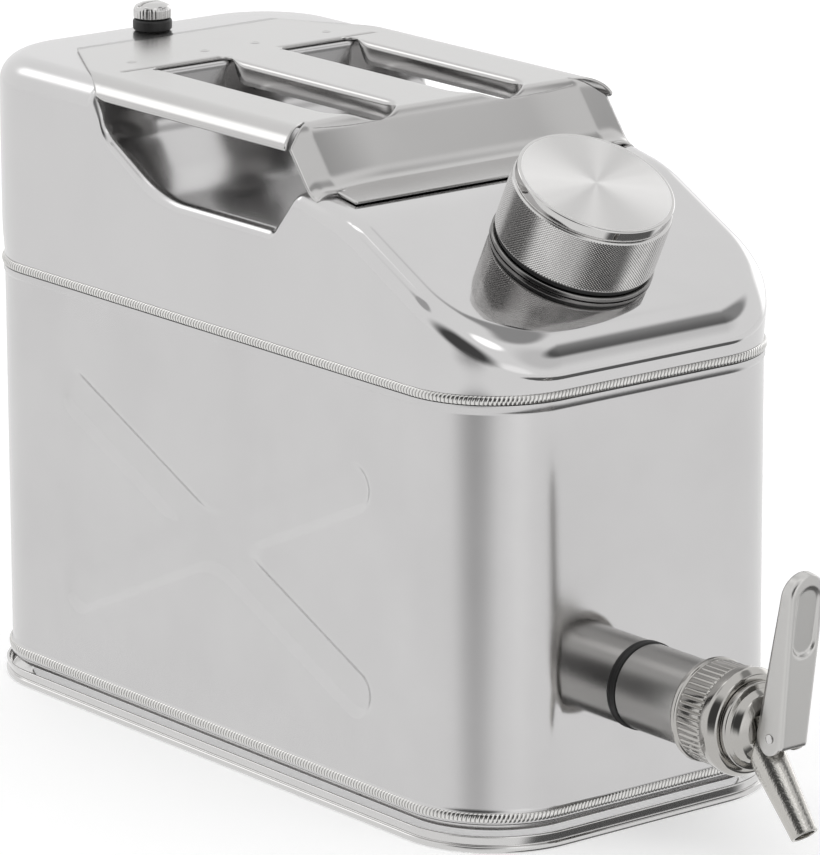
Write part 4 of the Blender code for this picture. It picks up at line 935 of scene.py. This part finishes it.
def buildVent():
    spot = (0, vent["y"], can["deckZ"])
    bore, out, low, top = vent["ringBore"], vent["ringRadius"], vent["ringLow"], vent["ringTop"]
    section = [(bore, low), (out, low, 1.2), (out, top, 1.2), (bore, top), (bore, low)]
    ring = addTurned("ventRing", section, rubber, "vent_carrier", spot)
    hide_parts("vent_seal")

    # Domed head with a knurled rim; the slot sinks the dome where |y| is under half its width
    low = vent["ringTop"] + vent["headGap"]
    top = low + vent["headHeight"]
    head, stem, stemEnd = vent["headRadius"], vent["stemRadius"], low - vent["stemLength"]
    profile = roundedLine(
        [
            (0, top),
            (head * 0.55, top - 0.35, 6),
            (head * 0.9, top - 1.6, 2),
            (head, top - 3.2, 0.8),
            (head, low + 0.4, 0.3),
            (head - 0.5, low),
            (stem, low),
            (stem, stemEnd, 0.4),
            (0, stemEnd),
        ]
    )
    dense = np.linspace(0, 1, 30)[:-1, None] * (profile[1] - profile[0]) + profile[0]
    profile = np.vstack((dense, profile[1:]))
    angle = np.linspace(0, math.tau, vent["ridges"] * 6 + 1)
    radius, height = profile[:, :1] + 0 * angle, profile[:, 1:2] + 0 * angle
    rim = (height < top - 3.0) & (radius > head - 0.3)
    radius = radius - rim * vent["ridgeDepth"] * (0.5 - 0.5 * np.cos(angle * vent["ridges"]))
    x, y = radius * np.cos(angle), radius * np.sin(angle)
    inSlot = smoothStep((vent["slotWidth"] / 2 + 0.2 - np.abs(y)) / 0.35) * (height > top - 2.6)
    height = height - inSlot * np.maximum(height - (top - vent["slotDepth"] - 0.4), 0)
    grid = onAxis(np.stack((x, y, height), -1), spot, 0)
    piece = addSurface("ventScrew", grid, polishedSteel, "vent", sharp=30)
    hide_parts("vent_screw")


buildVent()
print("vent made")

# Filler cap

cap = {
    "y": -124.5,
    "radius": 32.6,
    "height": 33.0,
    "bandRadius": 31.6,
    "threadRadius": 26.6,
    "knurlLow": 4.6,
    "knurlHigh": 27.4,
    "knurlPitch": 1.2,
    "knurlDepth": 0.42,
    "neckBore": 23.5,
    "neckRadius": 26.0,
    "flangeRadius": 33.0,
    "flangeTop": 2.1,
    "sealLow": 2.4,
    "sealTop": 4.3,
}
fillerFoot = (0, cap["y"], slopeZ(cap["y"]))


# Diamond knurl: on a checker of peaks and valleys half a pitch apart, each square is split along the
# line between its two valleys, so four slopes rise to every peak.
def buildKnurl():
    tall = cap["knurlHigh"] - cap["knurlLow"]
    columns = int(math.tau * cap["radius"] / cap["knurlPitch"]) * 2
    rows = int(tall / cap["knurlPitch"]) * 2
    i, j = np.meshgrid(np.arange(rows + 1), np.arange(columns + 1), indexing="ij")
    peak = ((i + j) % 2) * np.clip(np.minimum(i, rows - i), 0, 1)
    radius = cap["radius"] - cap["knurlDepth"] * (1 - peak)
    angle = math.tau * j / columns
    height = cap["knurlLow"] + tall * i / rows
    spots = np.stack((radius * np.cos(angle), radius * np.sin(angle), height), -1)
    grid = onAxis(spots, fillerFoot, can["slopeAngle"])
    index = i * (columns + 1) + j
    a, b, c, d = index[:-1, :-1], index[:-1, 1:], index[1:, 1:], index[1:, :-1]
    even = ((i + j)[:-1, :-1] % 2 == 0)[..., None]
    first = np.where(even, np.stack((a, b, c), -1), np.stack((a, b, d), -1))
    second = np.where(even, np.stack((a, c, d), -1), np.stack((b, c, d), -1))
    faces = np.vstack((first.reshape(-1, 3), second.reshape(-1, 3)))
    piece = addPiece("capKnurl", grid, faces, knurledSteel, "cap", sharp=0, outward=False)
    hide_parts("filler_cap")


# The cap's plain turned parts, and the neck with its flange and seal under it
def buildFiller():
    tilt, radius, band, top = can["slopeAngle"], cap["radius"], cap["bandRadius"], cap["height"]
    thread, inside, high = cap["threadRadius"], radius - 1.5, cap["knurlHigh"]
    section = [
        (thread, high),
        (thread, cap["sealTop"]),
        (radius - 0.9, cap["sealTop"], 0.3),
        (radius - 0.3, 4.65),
        (inside, 5.2),
        (inside, high),
        (thread, high),
    ]
    skirt = addTurned("capSkirt", section, polishedSteel, "cap", fillerFoot, tilt, 160)
    section = [
        (20, 27.3),
        (radius - 0.3, 27.3),
        (radius - 0.5, 27.9, 0.3),
        (band - 0.5, 28.2, 0.2),
        (band - 0.5, 28.7, 0.2),
        (band, 29.0, 0.3),
        (band, top, 0.7),
        (band - 1.2, top),
        (20, top - 0.4),
        (20, 27.3),
    ]
    rim = addTurned("capBand", section, polishedSteel, "cap", fillerFoot, tilt, 200)
    face = band - 1.15
    section = [(0, top - 0.01), (face, top - 0.01), (face, top - 0.3), (0, top - 0.3)]
    disc = addTurned("capTop", section, facedSteel, "cap", fillerFoot, tilt, 200)
    bore, wall, flange, flangeTop = cap["neckBore"], cap["neckRadius"], cap["flangeRadius"], cap["flangeTop"]
    section = [
        (bore, -4),
        (wall, -4),
        (wall, 0.3),
        (flange, 0.3, 0.2),
        (flange, flangeTop, 0.7),
        (wall, flangeTop),
        (wall, 24, 0.6),
        (bore, 24),
        (bore, -4),
    ]
    # The neck and its flange take the steel whose darker colour is painted shade from the cap above
    neck = addTurned("neckFlange", section, paintedShadeSteel, "can", fillerFoot, tilt, 160)
    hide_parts("filler_neck")
    low, high = cap["sealLow"], cap["sealTop"]
    section = [(27, low), (31.6, low, 0.2), (31.6, high, 0.2), (27, high), (27, low)]
    seal = addTurned("capSeal", section, rubber, "can", fillerFoot, tilt, 120)
    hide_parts("cap_seal")


buildKnurl()
buildFiller()
print("filler cap made")

# Tap

tap = {
    "z": 56.0,
    "pinReach": 80.5,
    "pinDrop": 0.5,
    "socketRadius": 16.6,
    "gasketRadius": 17.7,
    "sleeveRadius": 17.2,
    "sleeveEnd": 38.2,
    "flutes": 48,
    "fluteRadius": 20.2,
    "fluteDepth": 0.75,
    "nutLow": 38.5,
    "nutHigh": 63.7,
    "collarRadius": 21.5,
    "spoutFoot": (0, -4.0, 66.5),
    "spoutRun": (0, -33.0, 27.0),
}
tapFoot = (0, -halfLength, tap["z"])
square = math.pi / 2
pinY, pinZ = -halfLength - tap["pinReach"], tap["z"] - tap["pinDrop"]


# What carries the tap on the wall: a socket's rim, the gasket over it and the sleeve
def buildOutlet():
    rim = tap["socketRadius"]
    section = [(12, -3.2), (13.6, -3.2), (13.6, 0.02), (rim, 0.02), (rim, 0.3, 0.1), (12, 0.3), (12, -3.2)]
    socket = addTurned("outletSocket", section, satinSheet, "can", tapFoot, square, 120)
    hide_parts("outlet_socket")
    out, over = tap["gasketRadius"], rim + 0.1
    section = [(over, 0.35), (over, 0.03), (out, 0.03), (out, 2.0, 0.4), (12, 2.0), (12, 0.35), (over, 0.35)]
    gasket = addTurned("outletGasket", section, rubber, "can", tapFoot, square)
    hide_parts("outlet_gasket")
    out, end = tap["sleeveRadius"], tap["sleeveEnd"]
    section = [
        (8, -3.2),
        (11.6, -3.2),
        (11.6, 2.3),
        (out, 2.3, 0.4),
        (out, end, 0.4),
        (16.6, 38.3),
        (16.6, 50.6, 0.4),
        (8, 50.8),
        (8, -3.2),
    ]
    sleeve = addTurned("tapSleeve", section, turnedSteel, "can", tapFoot, square, 120)
    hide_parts("tap_sleeve")


# Union nut: rounded collars, and between them flat ribs with narrow grooves, where |sin| is small
def buildNut():
    low, high, flute, collar = tap["nutLow"], tap["nutHigh"], tap["fluteRadius"], tap["collarRadius"]
    profile = roundedLine(
        [
            (17.6, low),
            (20.2, low, 0.6),
            (20.8, low + 1.2, 0.6),
            (20.6, low + 2.6, 0.6),
            (19.6, low + 3.1, 0.4),
            (flute - 0.2, low + 3.8, 0.3),
            (flute, low + 4.4),
            (flute, high - 9.6),
            (flute - 1.0, high - 8.8, 0.4),
            (flute - 1.0, high - 8.3, 0.3),
            (21.3, high - 7.4, 0.8),
            (collar, high - 3.2, 3.0),
            (19.2, high, 1.4),
            (15.9, high),
            (15.9, 59.1),
            (17.6, 59.1),
            (17.6, low),
        ],
        7,
    )
    steps = tap["flutes"] * 10
    grid, uv = turnedGrid(profile, steps, (0, 0, 0), 0)
    angle = np.linspace(0, math.tau, steps + 1)[None, :]
    fluted = (profile[:, 1] > low + 4.2) & (profile[:, 1] < high - 9.4) & (profile[:, 0] > 18)
    rib = smoothStep(np.abs(np.sin(angle * tap["flutes"] / 2)) / 0.75)
    scale = 1 - fluted[:, None] * tap["fluteDepth"] * (1 - rib) / flute
    grid[..., :2] *= scale[..., None]
    nut = addSurface("unionNut", onAxis(grid, tapFoot, square), nickelPlate, "nut", uv, sharp=38)
    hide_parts("union_nut")


# The tap's collar and dome, and its spout: a tube tapering from the dome to its lip, with its bore
def buildTap():
    section = [
        (4, 40.4),
        (7.7, 40.4),
        (7.7, 53.4),
        (16.5, 53.4),
        (16.5, 58.8),
        (15.4, 58.8),
        (15.4, 64.0),
        (17.3, 64.0, 0.4),
        (17.3, 67.0, 0.8),
        (15.0, 67.4, 0.3),
        (14.6, 68.2, 0.8),
        (13.2, 70.6, 2.5),
        (9.5, 72.0, 4),
        (0, 72.2),
    ]
    body = addTurned("tapCollar", section, nickelPlate, "tap", tapFoot, square, 120)
    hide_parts("tap_body")

    run = tap["spoutRun"]
    length = float(np.linalg.norm(run))
    tube = roundedLine(
        [
            (0, 0),
            (7.75, 0, 1.5),
            (7.1, 10, 20),
            (5.5, length - 2.2, 8),
            (5.45, length, 0.5),
            (4.1, length, 0.3),
            (4.0, length - 12),
            (0, length - 12),
        ]
    )
    grid, uv = turnedGrid(tube, 72, (0, 0, 0), 0)
    grid = onAxis(onAxis(grid, tap["spoutFoot"], math.atan2(-run[1], run[2])), tapFoot, square)
    spout = addSurface("tapSpout", grid, castNickel, "tap", uv, sharp=38)


buildOutlet()
buildNut()
buildTap()
print("tap made")

# The fork's cheeks: inner and outer face, and the round end about the pin
fork = {"inner": 2.8, "outer": 5.0, "round": 4.2}


# A flat cheek with a round end: its outline (along the axis, upward) is carried across X with soft edges.
def buildFork():
    inner, outer, end = fork["inner"], fork["outer"], fork["round"]
    turn = np.linspace(-math.pi / 2, math.pi / 2, 25)
    ahead = np.column_stack((-end * np.cos(turn), end * np.sin(turn)))
    outline = np.vstack((ahead, [[9.0, 6.8], [11.5, 7.4], [11.5, -8.4], [9.0, -7.6]]))
    layers = ((inner, 0.0), (outer - 0.5, 0.0), (outer - 0.15, -0.15), (outer, -0.5))
    for side, word in ((1, "Right"), (-1, "Left")):
        rows = []
        for x, grow in layers:
            along, rise = outline.T * (1 + grow / end)
            rows.append(np.column_stack((0 * along + side * x, pinY + along, pinZ + rise)))
        centre = np.array([[0, pinY + 3, pinZ]])
        start, stop = rows[0] * 0 + centre, rows[0] * 0 + centre
        start[:, 0], stop[:, 0] = side * inner, side * outer
        grid = np.stack([start, *rows, stop])
        grid = np.concatenate((grid, grid[:, :1]), 1)
        piece = addSurface("tapFork" + word, grid, castNickel, "tap", sharp=50)


buildFork()

lever = {
    "lean": math.radians(6.5),
    "height": 67.6,
    "topHalf": 8.5,
    "footHalf": 6.8,
    "front": 7.0,
    "heel": 7.2,
    "topDepth": 5.0,
    "web": 1.6,
    "edge": 1.6,
    "thumbHalf": 6.0,
    "thumbLength": 29.0,
    "thumbMargin": 4.5,
    "thumbDepth": 1.5,
    "thumbEdge": 1.3,
    "webFoot": -3.0,
}


# The lever is a channel. Each row is a U at height z: back edge of one cheek, round the front, back edge
# of the other; below webFoot only the cheeks go on. The half-width narrows downward and closes in a half
# circle at the top. The cheeks' depth comes from the heel circle below the pin and a straight back edge
# above it.
def buildLever():
    top, heel, front, topHalf = lever["height"], lever["heel"], lever["front"], lever["topHalf"]
    roundStart = top - topHalf
    below = np.linspace(-heel * 0.98, 0, 16)
    trunk = np.linspace(0, roundStart, 84)[1:]
    rounded = roundStart + topHalf * np.sin(np.linspace(0, 1, 22)[1:] * math.pi / 2 * 0.985)
    z = np.concatenate((below, trunk, rounded))[:, None]
    half = np.interp(z, [0, roundStart], [lever["footHalf"], topHalf])
    narrowed = np.sqrt(np.maximum(topHalf**2 - (z - roundStart) ** 2, 0.01))
    half = np.where(z > roundStart, narrowed, half)
    circle = np.sqrt(np.maximum(heel**2 - z**2, 0))
    ahead = np.where(z < -heel * 0.2, -np.minimum(front, circle), -front)
    back = np.where(z < 0, circle, np.interp(z, [0, top], [heel, -front + lever["topDepth"]]))
    edge = np.minimum(lever["edge"], half * 0.5)
    turn = np.linspace(0, math.pi / 2, 6)[None, :]
    cheek = np.linspace(0, 1, 10)[None, :-1]
    sideX = -half + 0 * cheek
    sideY = back + (ahead + edge - back) * cheek
    cornerX = -half + edge * (1 - np.cos(turn))
    cornerY = ahead + edge * (1 - np.sin(turn))
    across = np.linspace(-1, 1, 31)[None, 1:-1]
    webX = (half - edge) * across
    webY = ahead + 0 * across
    x = np.hstack((sideX, cornerX, webX, -cornerX[:, ::-1], -sideX[:, ::-1]))
    y = np.hstack((sideY, cornerY, webY, cornerY[:, ::-1], sideY[:, ::-1]))
    z = z + 0 * x

    # The thumb's hollow: a long round-ended basin in the front face, deeper toward its foot
    thumb, length = lever["thumbHalf"], lever["thumbLength"]
    upperEnd = top - lever["thumbMargin"] - thumb
    lowerEnd = top - lever["thumbMargin"] - length + thumb
    away = np.hypot(x, z - np.clip(z, lowerEnd, upperEnd)) - thumb
    share = np.clip((upperEnd + thumb - z) / length, 0, 1)
    onFace = np.abs(y - ahead) < 0.2
    basin = (0.35 + 0.65 * share) * smoothStep(-away / lever["thumbEdge"])
    y = y + onFace * lever["thumbDepth"] * basin

    c, s = math.cos(lever["lean"]), math.sin(lever["lean"])
    grid = np.stack((x, pinY + y * c - z * s, pinZ + y * s + z * c), -1)
    faces = gridFaces(*grid.shape[:2]).reshape(grid.shape[0] - 1, grid.shape[1] - 1, 4)
    cheekColumns = cheek.shape[1]
    webRows = z[:-1, 0] < lever["webFoot"]
    kept = np.ones(faces.shape[:2], bool)
    kept[webRows, cheekColumns : grid.shape[1] - 1 - cheekColumns] = False
    piece = addPiece("thumbLever", grid, faces[kept], satinZinc, "lever", sharp=55)
    thicken(piece, lever["web"])
    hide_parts("lever")


buildLever()


# The pin through the fork and the lever's cheeks, with a low head at both ends
def buildPin():
    shank, end = lever["footHalf"] + 0.1, lever["footHalf"] + 0.6
    half = roundedLine([(0, end), (1.9, end, 0.3), (1.9, shank, 0.1), (1.5, shank), (1.5, 0)], 6)
    profile = np.vstack((half, (half * [1, -1])[::-1]))
    grid, uv = turnedGrid(profile, 40, (0, 0, 0), 0)
    grid = grid[..., [2, 0, 1]] + np.array([0, pinY, pinZ])
    piece = addSurface("leverPin", grid, polishedSteel, "tap", uv, sharp=35)
    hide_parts("lever_pin")


buildPin()
print("lever and pin made")

# Hidden inner pieces keep their CAD shapes and get the same finishes.
hidden = {
    "cap_liner": rubber,
    "vent_boss": polishedSteel,
    "tap_gasket": rubber,
    "tap_stem": polishedSteel,
    "stem_seal": rubber,
    "valve_spring": polishedSteel,
}
for node, finish in hidden.items():
    slots = frame["nodes"][node].data.materials
    for i in range(len(slots)):
        slots[i] = finish

# Studio

# Fitted to the can's edges in the picture; the shifts are millimetres at the can
camera = {
    "azimuth": math.radians(-38.3618),
    "elevation": math.radians(14.9111),
    "roll": math.radians(-0.217),
    "distance": 2540.4,
    "across": 14.034,
    "up": 120.283,
    "focal": 6184.7,  # in pixels of the 855 high picture
    "pictureHeight": 855,
    "sensor": 36,
    "clipEnd": 50,  # metres
}


def buildCamera():
    az, el, roll = camera["azimuth"], camera["elevation"], camera["roll"]
    back = np.array([math.sin(az) * math.cos(el), -math.cos(az) * math.cos(el), math.sin(el)])
    right = np.cross([0, 0, 1], back)
    right /= np.linalg.norm(right)
    up = np.cross(back, right)
    rolledRight = right * math.cos(roll) + up * math.sin(roll)
    rolledUp = -right * math.sin(roll) + up * math.cos(roll)
    spot = back * camera["distance"] + rolledRight * camera["across"] + rolledUp * camera["up"]
    lens = bpy.data.cameras.new("studioCamera")
    lens.sensor_width = camera["sensor"]
    lens.lens = camera["focal"] * camera["sensor"] / camera["pictureHeight"]
    lens.clip_end = camera["clipEnd"]
    body = bpy.data.objects.new("studioCamera", lens)
    turn = np.eye(4)
    turn[:3, 0], turn[:3, 1], turn[:3, 2] = rolledRight, rolledUp, back
    turn[:3, 3] = spot * 0.001 + [0, canMiddleY, 0]
    body.matrix_world = Matrix(turn.tolist())
    bpy.context.scene.collection.objects.link(body)
    bpy.context.scene.camera = body


buildCamera()

studio = {
    "worldLight": 1.04,
    "floorHalf": 6.0,  # metres
    "floorColour": "#e6e6e6",
    "floorLift": 0.36,
    "floorClear": 0.93,
}

# Grey gaps and glows in the white tent: azimuth and height of the middle, half spans (degrees), how
# much light is taken or added, and the part of the span over which the edge is soft
gaps = [
    (-150.0, 14.0, 30.0, 30.0, 0.92, 0.7),
    (-33.0, 34.0, 23.0, 8.0, 0.66, 0.6),
    (-45.0, -60.0, 60.0, 30.0, 0.9, 0.3),
    (-62.0, 30.0, 24.0, 18.0, 0.22, 0.8),
    (-22.0, 60.0, 44.0, 8.0, 0.62, 0.6),
    (170.0, 62.0, 14.0, 12.0, 0.5, 0.5),
]
glows = [
    (17.0, 10.0, 14.0, 18.0, 0.8, 0.6),
    (107.0, 37.0, 12.0, 10.0, 1.1, 0.7),
    (-102.0, 0.0, 16.0, 14.0, 0.25, 0.8),
    (-100.0, 52.0, 14.0, 9.0, 0.8, 0.6),
    (125.0, 70.0, 10.0, 8.0, 0.9, 0.5),
]


# A soft round spot on the sky: the smooth step of (1 + soft / 2 - hypot(turn / span, rise / span)) / soft,
# times its strength
def addSpot(tree, azimuth, height, spot):
    middle, lift, wide, tall, strength, soft = spot
    less, halfTurns, over = {"operation": "SUBTRACT"}, {"operation": "WRAP"}, {"operation": "DIVIDE"}
    turn = addNode(tree, "ShaderNodeMath", less, {1: middle}, {0: azimuth})
    wrapped = addNode(tree, "ShaderNodeMath", halfTurns, {1: 180.0, 2: -180.0}, {0: turn.outputs[0]})
    rise = addNode(tree, "ShaderNodeMath", less, {1: lift}, {0: height})
    u = addNode(tree, "ShaderNodeMath", over, {1: wide}, {0: wrapped.outputs[0]})
    v = addNode(tree, "ShaderNodeMath", over, {1: tall}, {0: rise.outputs[0]})
    pair = addNode(tree, "ShaderNodeCombineXYZ", links={"X": u.outputs[0], "Y": v.outputs[0]})
    far = addNode(tree, "ShaderNodeVectorMath", {"operation": "LENGTH"}, links={0: pair.outputs[0]})
    return addNode(
        tree,
        "ShaderNodeMapRange",
        attributes={"interpolation_type": "SMOOTHSTEP"},
        values={"From Min": 1 + soft / 2, "From Max": 1 - soft / 2, "To Min": 0.0, "To Max": strength},
        links={"Value": far.outputs["Value"]},
    ).outputs[0]


# White tent with soft gaps and glows: light = 1 - gaps + glows, by azimuth and height of the direction.
# The camera itself sees plain white.
def buildWorld():
    world = bpy.data.worlds.new("studio")
    world.use_nodes = True
    bpy.context.scene.world = world
    tree = world.node_tree
    tree.nodes.clear()
    place = addNode(tree, "ShaderNodeTexCoord")
    parts = addNode(tree, "ShaderNodeSeparateXYZ", links={"Vector": place.outputs["Generated"]})
    x, y, z = (parts.outputs[axis] for axis in ("X", "Y", "Z"))
    around = addNode(tree, "ShaderNodeMath", {"operation": "ARCTAN2"}, links={0: y, 1: x})
    climb = addNode(tree, "ShaderNodeMath", {"operation": "ARCSINE"}, links={0: z})
    azimuth, height = (
        addNode(tree, "ShaderNodeMath", {"operation": "DEGREES"}, links={0: angle.outputs[0]}).outputs[0]
        for angle in (around, climb)
    )
    level = None
    for group, sign in ((gaps, "SUBTRACT"), (glows, "ADD")):
        for spot in group:
            light = {1: addSpot(tree, azimuth, height, spot)}
            if level is not None:
                light[0] = level
            level = addNode(tree, "ShaderNodeMath", {"operation": sign}, {0: 1.0}, light).outputs[0]
    strength = {1: studio["worldLight"]}
    tone = addNode(tree, "ShaderNodeMath", {"operation": "MULTIPLY"}, strength, {0: level})
    tent = addNode(
        tree,
        "ShaderNodeBackground",
        values={"Color": (1, 1, 1, 1)},
        links={"Strength": tone.outputs[0]},
    )
    white = addNode(tree, "ShaderNodeBackground", values={"Color": (1, 1, 1, 1), "Strength": 1.0})
    path = addNode(tree, "ShaderNodeLightPath")
    both = addNode(
        tree,
        "ShaderNodeMixShader",
        links={0: path.outputs["Is Camera Ray"], 1: tent.outputs[0], 2: white.outputs[0]},
    )
    addNode(tree, "ShaderNodeOutputWorld", links={"Surface": both.outputs[0]})


# Matt white table; what the camera sees of it is lifted to the picture's plain white, and a reflection of
# it shows the tent's light below the horizon, by way of a see-through share for glossy rays
def buildFloor():
    finish = bpy.data.materials.new("mattWhiteFloor")
    finish.use_nodes = True
    tree = finish.node_tree
    tree.nodes.clear()
    path = addNode(tree, "ShaderNodeLightPath")
    matt = addNode(tree, "ShaderNodeBsdfDiffuse", values={"Color": linear(studio["floorColour"])})
    share, gloss = (
        addNode(
            tree,
            "ShaderNodeMath",
            attributes={"operation": "MULTIPLY"},
            values={1: studio[part]},
            links={0: path.outputs[ray]},
        )
        for part, ray in (("floorLift", "Is Camera Ray"), ("floorClear", "Is Glossy Ray"))
    )
    lift = addNode(
        tree,
        "ShaderNodeEmission",
        values={"Color": (1, 1, 1, 1)},
        links={"Strength": share.outputs[0]},
    )
    both = addNode(tree, "ShaderNodeAddShader", links={0: matt.outputs[0], 1: lift.outputs[0]})
    clear = addNode(tree, "ShaderNodeBsdfTransparent")
    seen = addNode(
        tree,
        "ShaderNodeMixShader",
        links={0: gloss.outputs[0], 1: both.outputs[0], 2: clear.outputs[0]},
    )
    addNode(tree, "ShaderNodeOutputMaterial", links={"Surface": seen.outputs[0]})
    size = studio["floorHalf"]
    corners = [(-size, -size, 0), (size, -size, 0), (size, size, 0), (-size, size, 0)]
    mesh = bpy.data.meshes.new("floor")
    mesh.from_pydata(corners, [], [(0, 1, 2, 3)])
    mesh.materials.append(finish)
    floor = bpy.data.objects.new("floor", mesh)
    bpy.context.scene.collection.objects.link(floor)


buildWorld()
buildFloor()
bpy.context.scene.view_settings.view_transform = "Standard"
print("studio made")
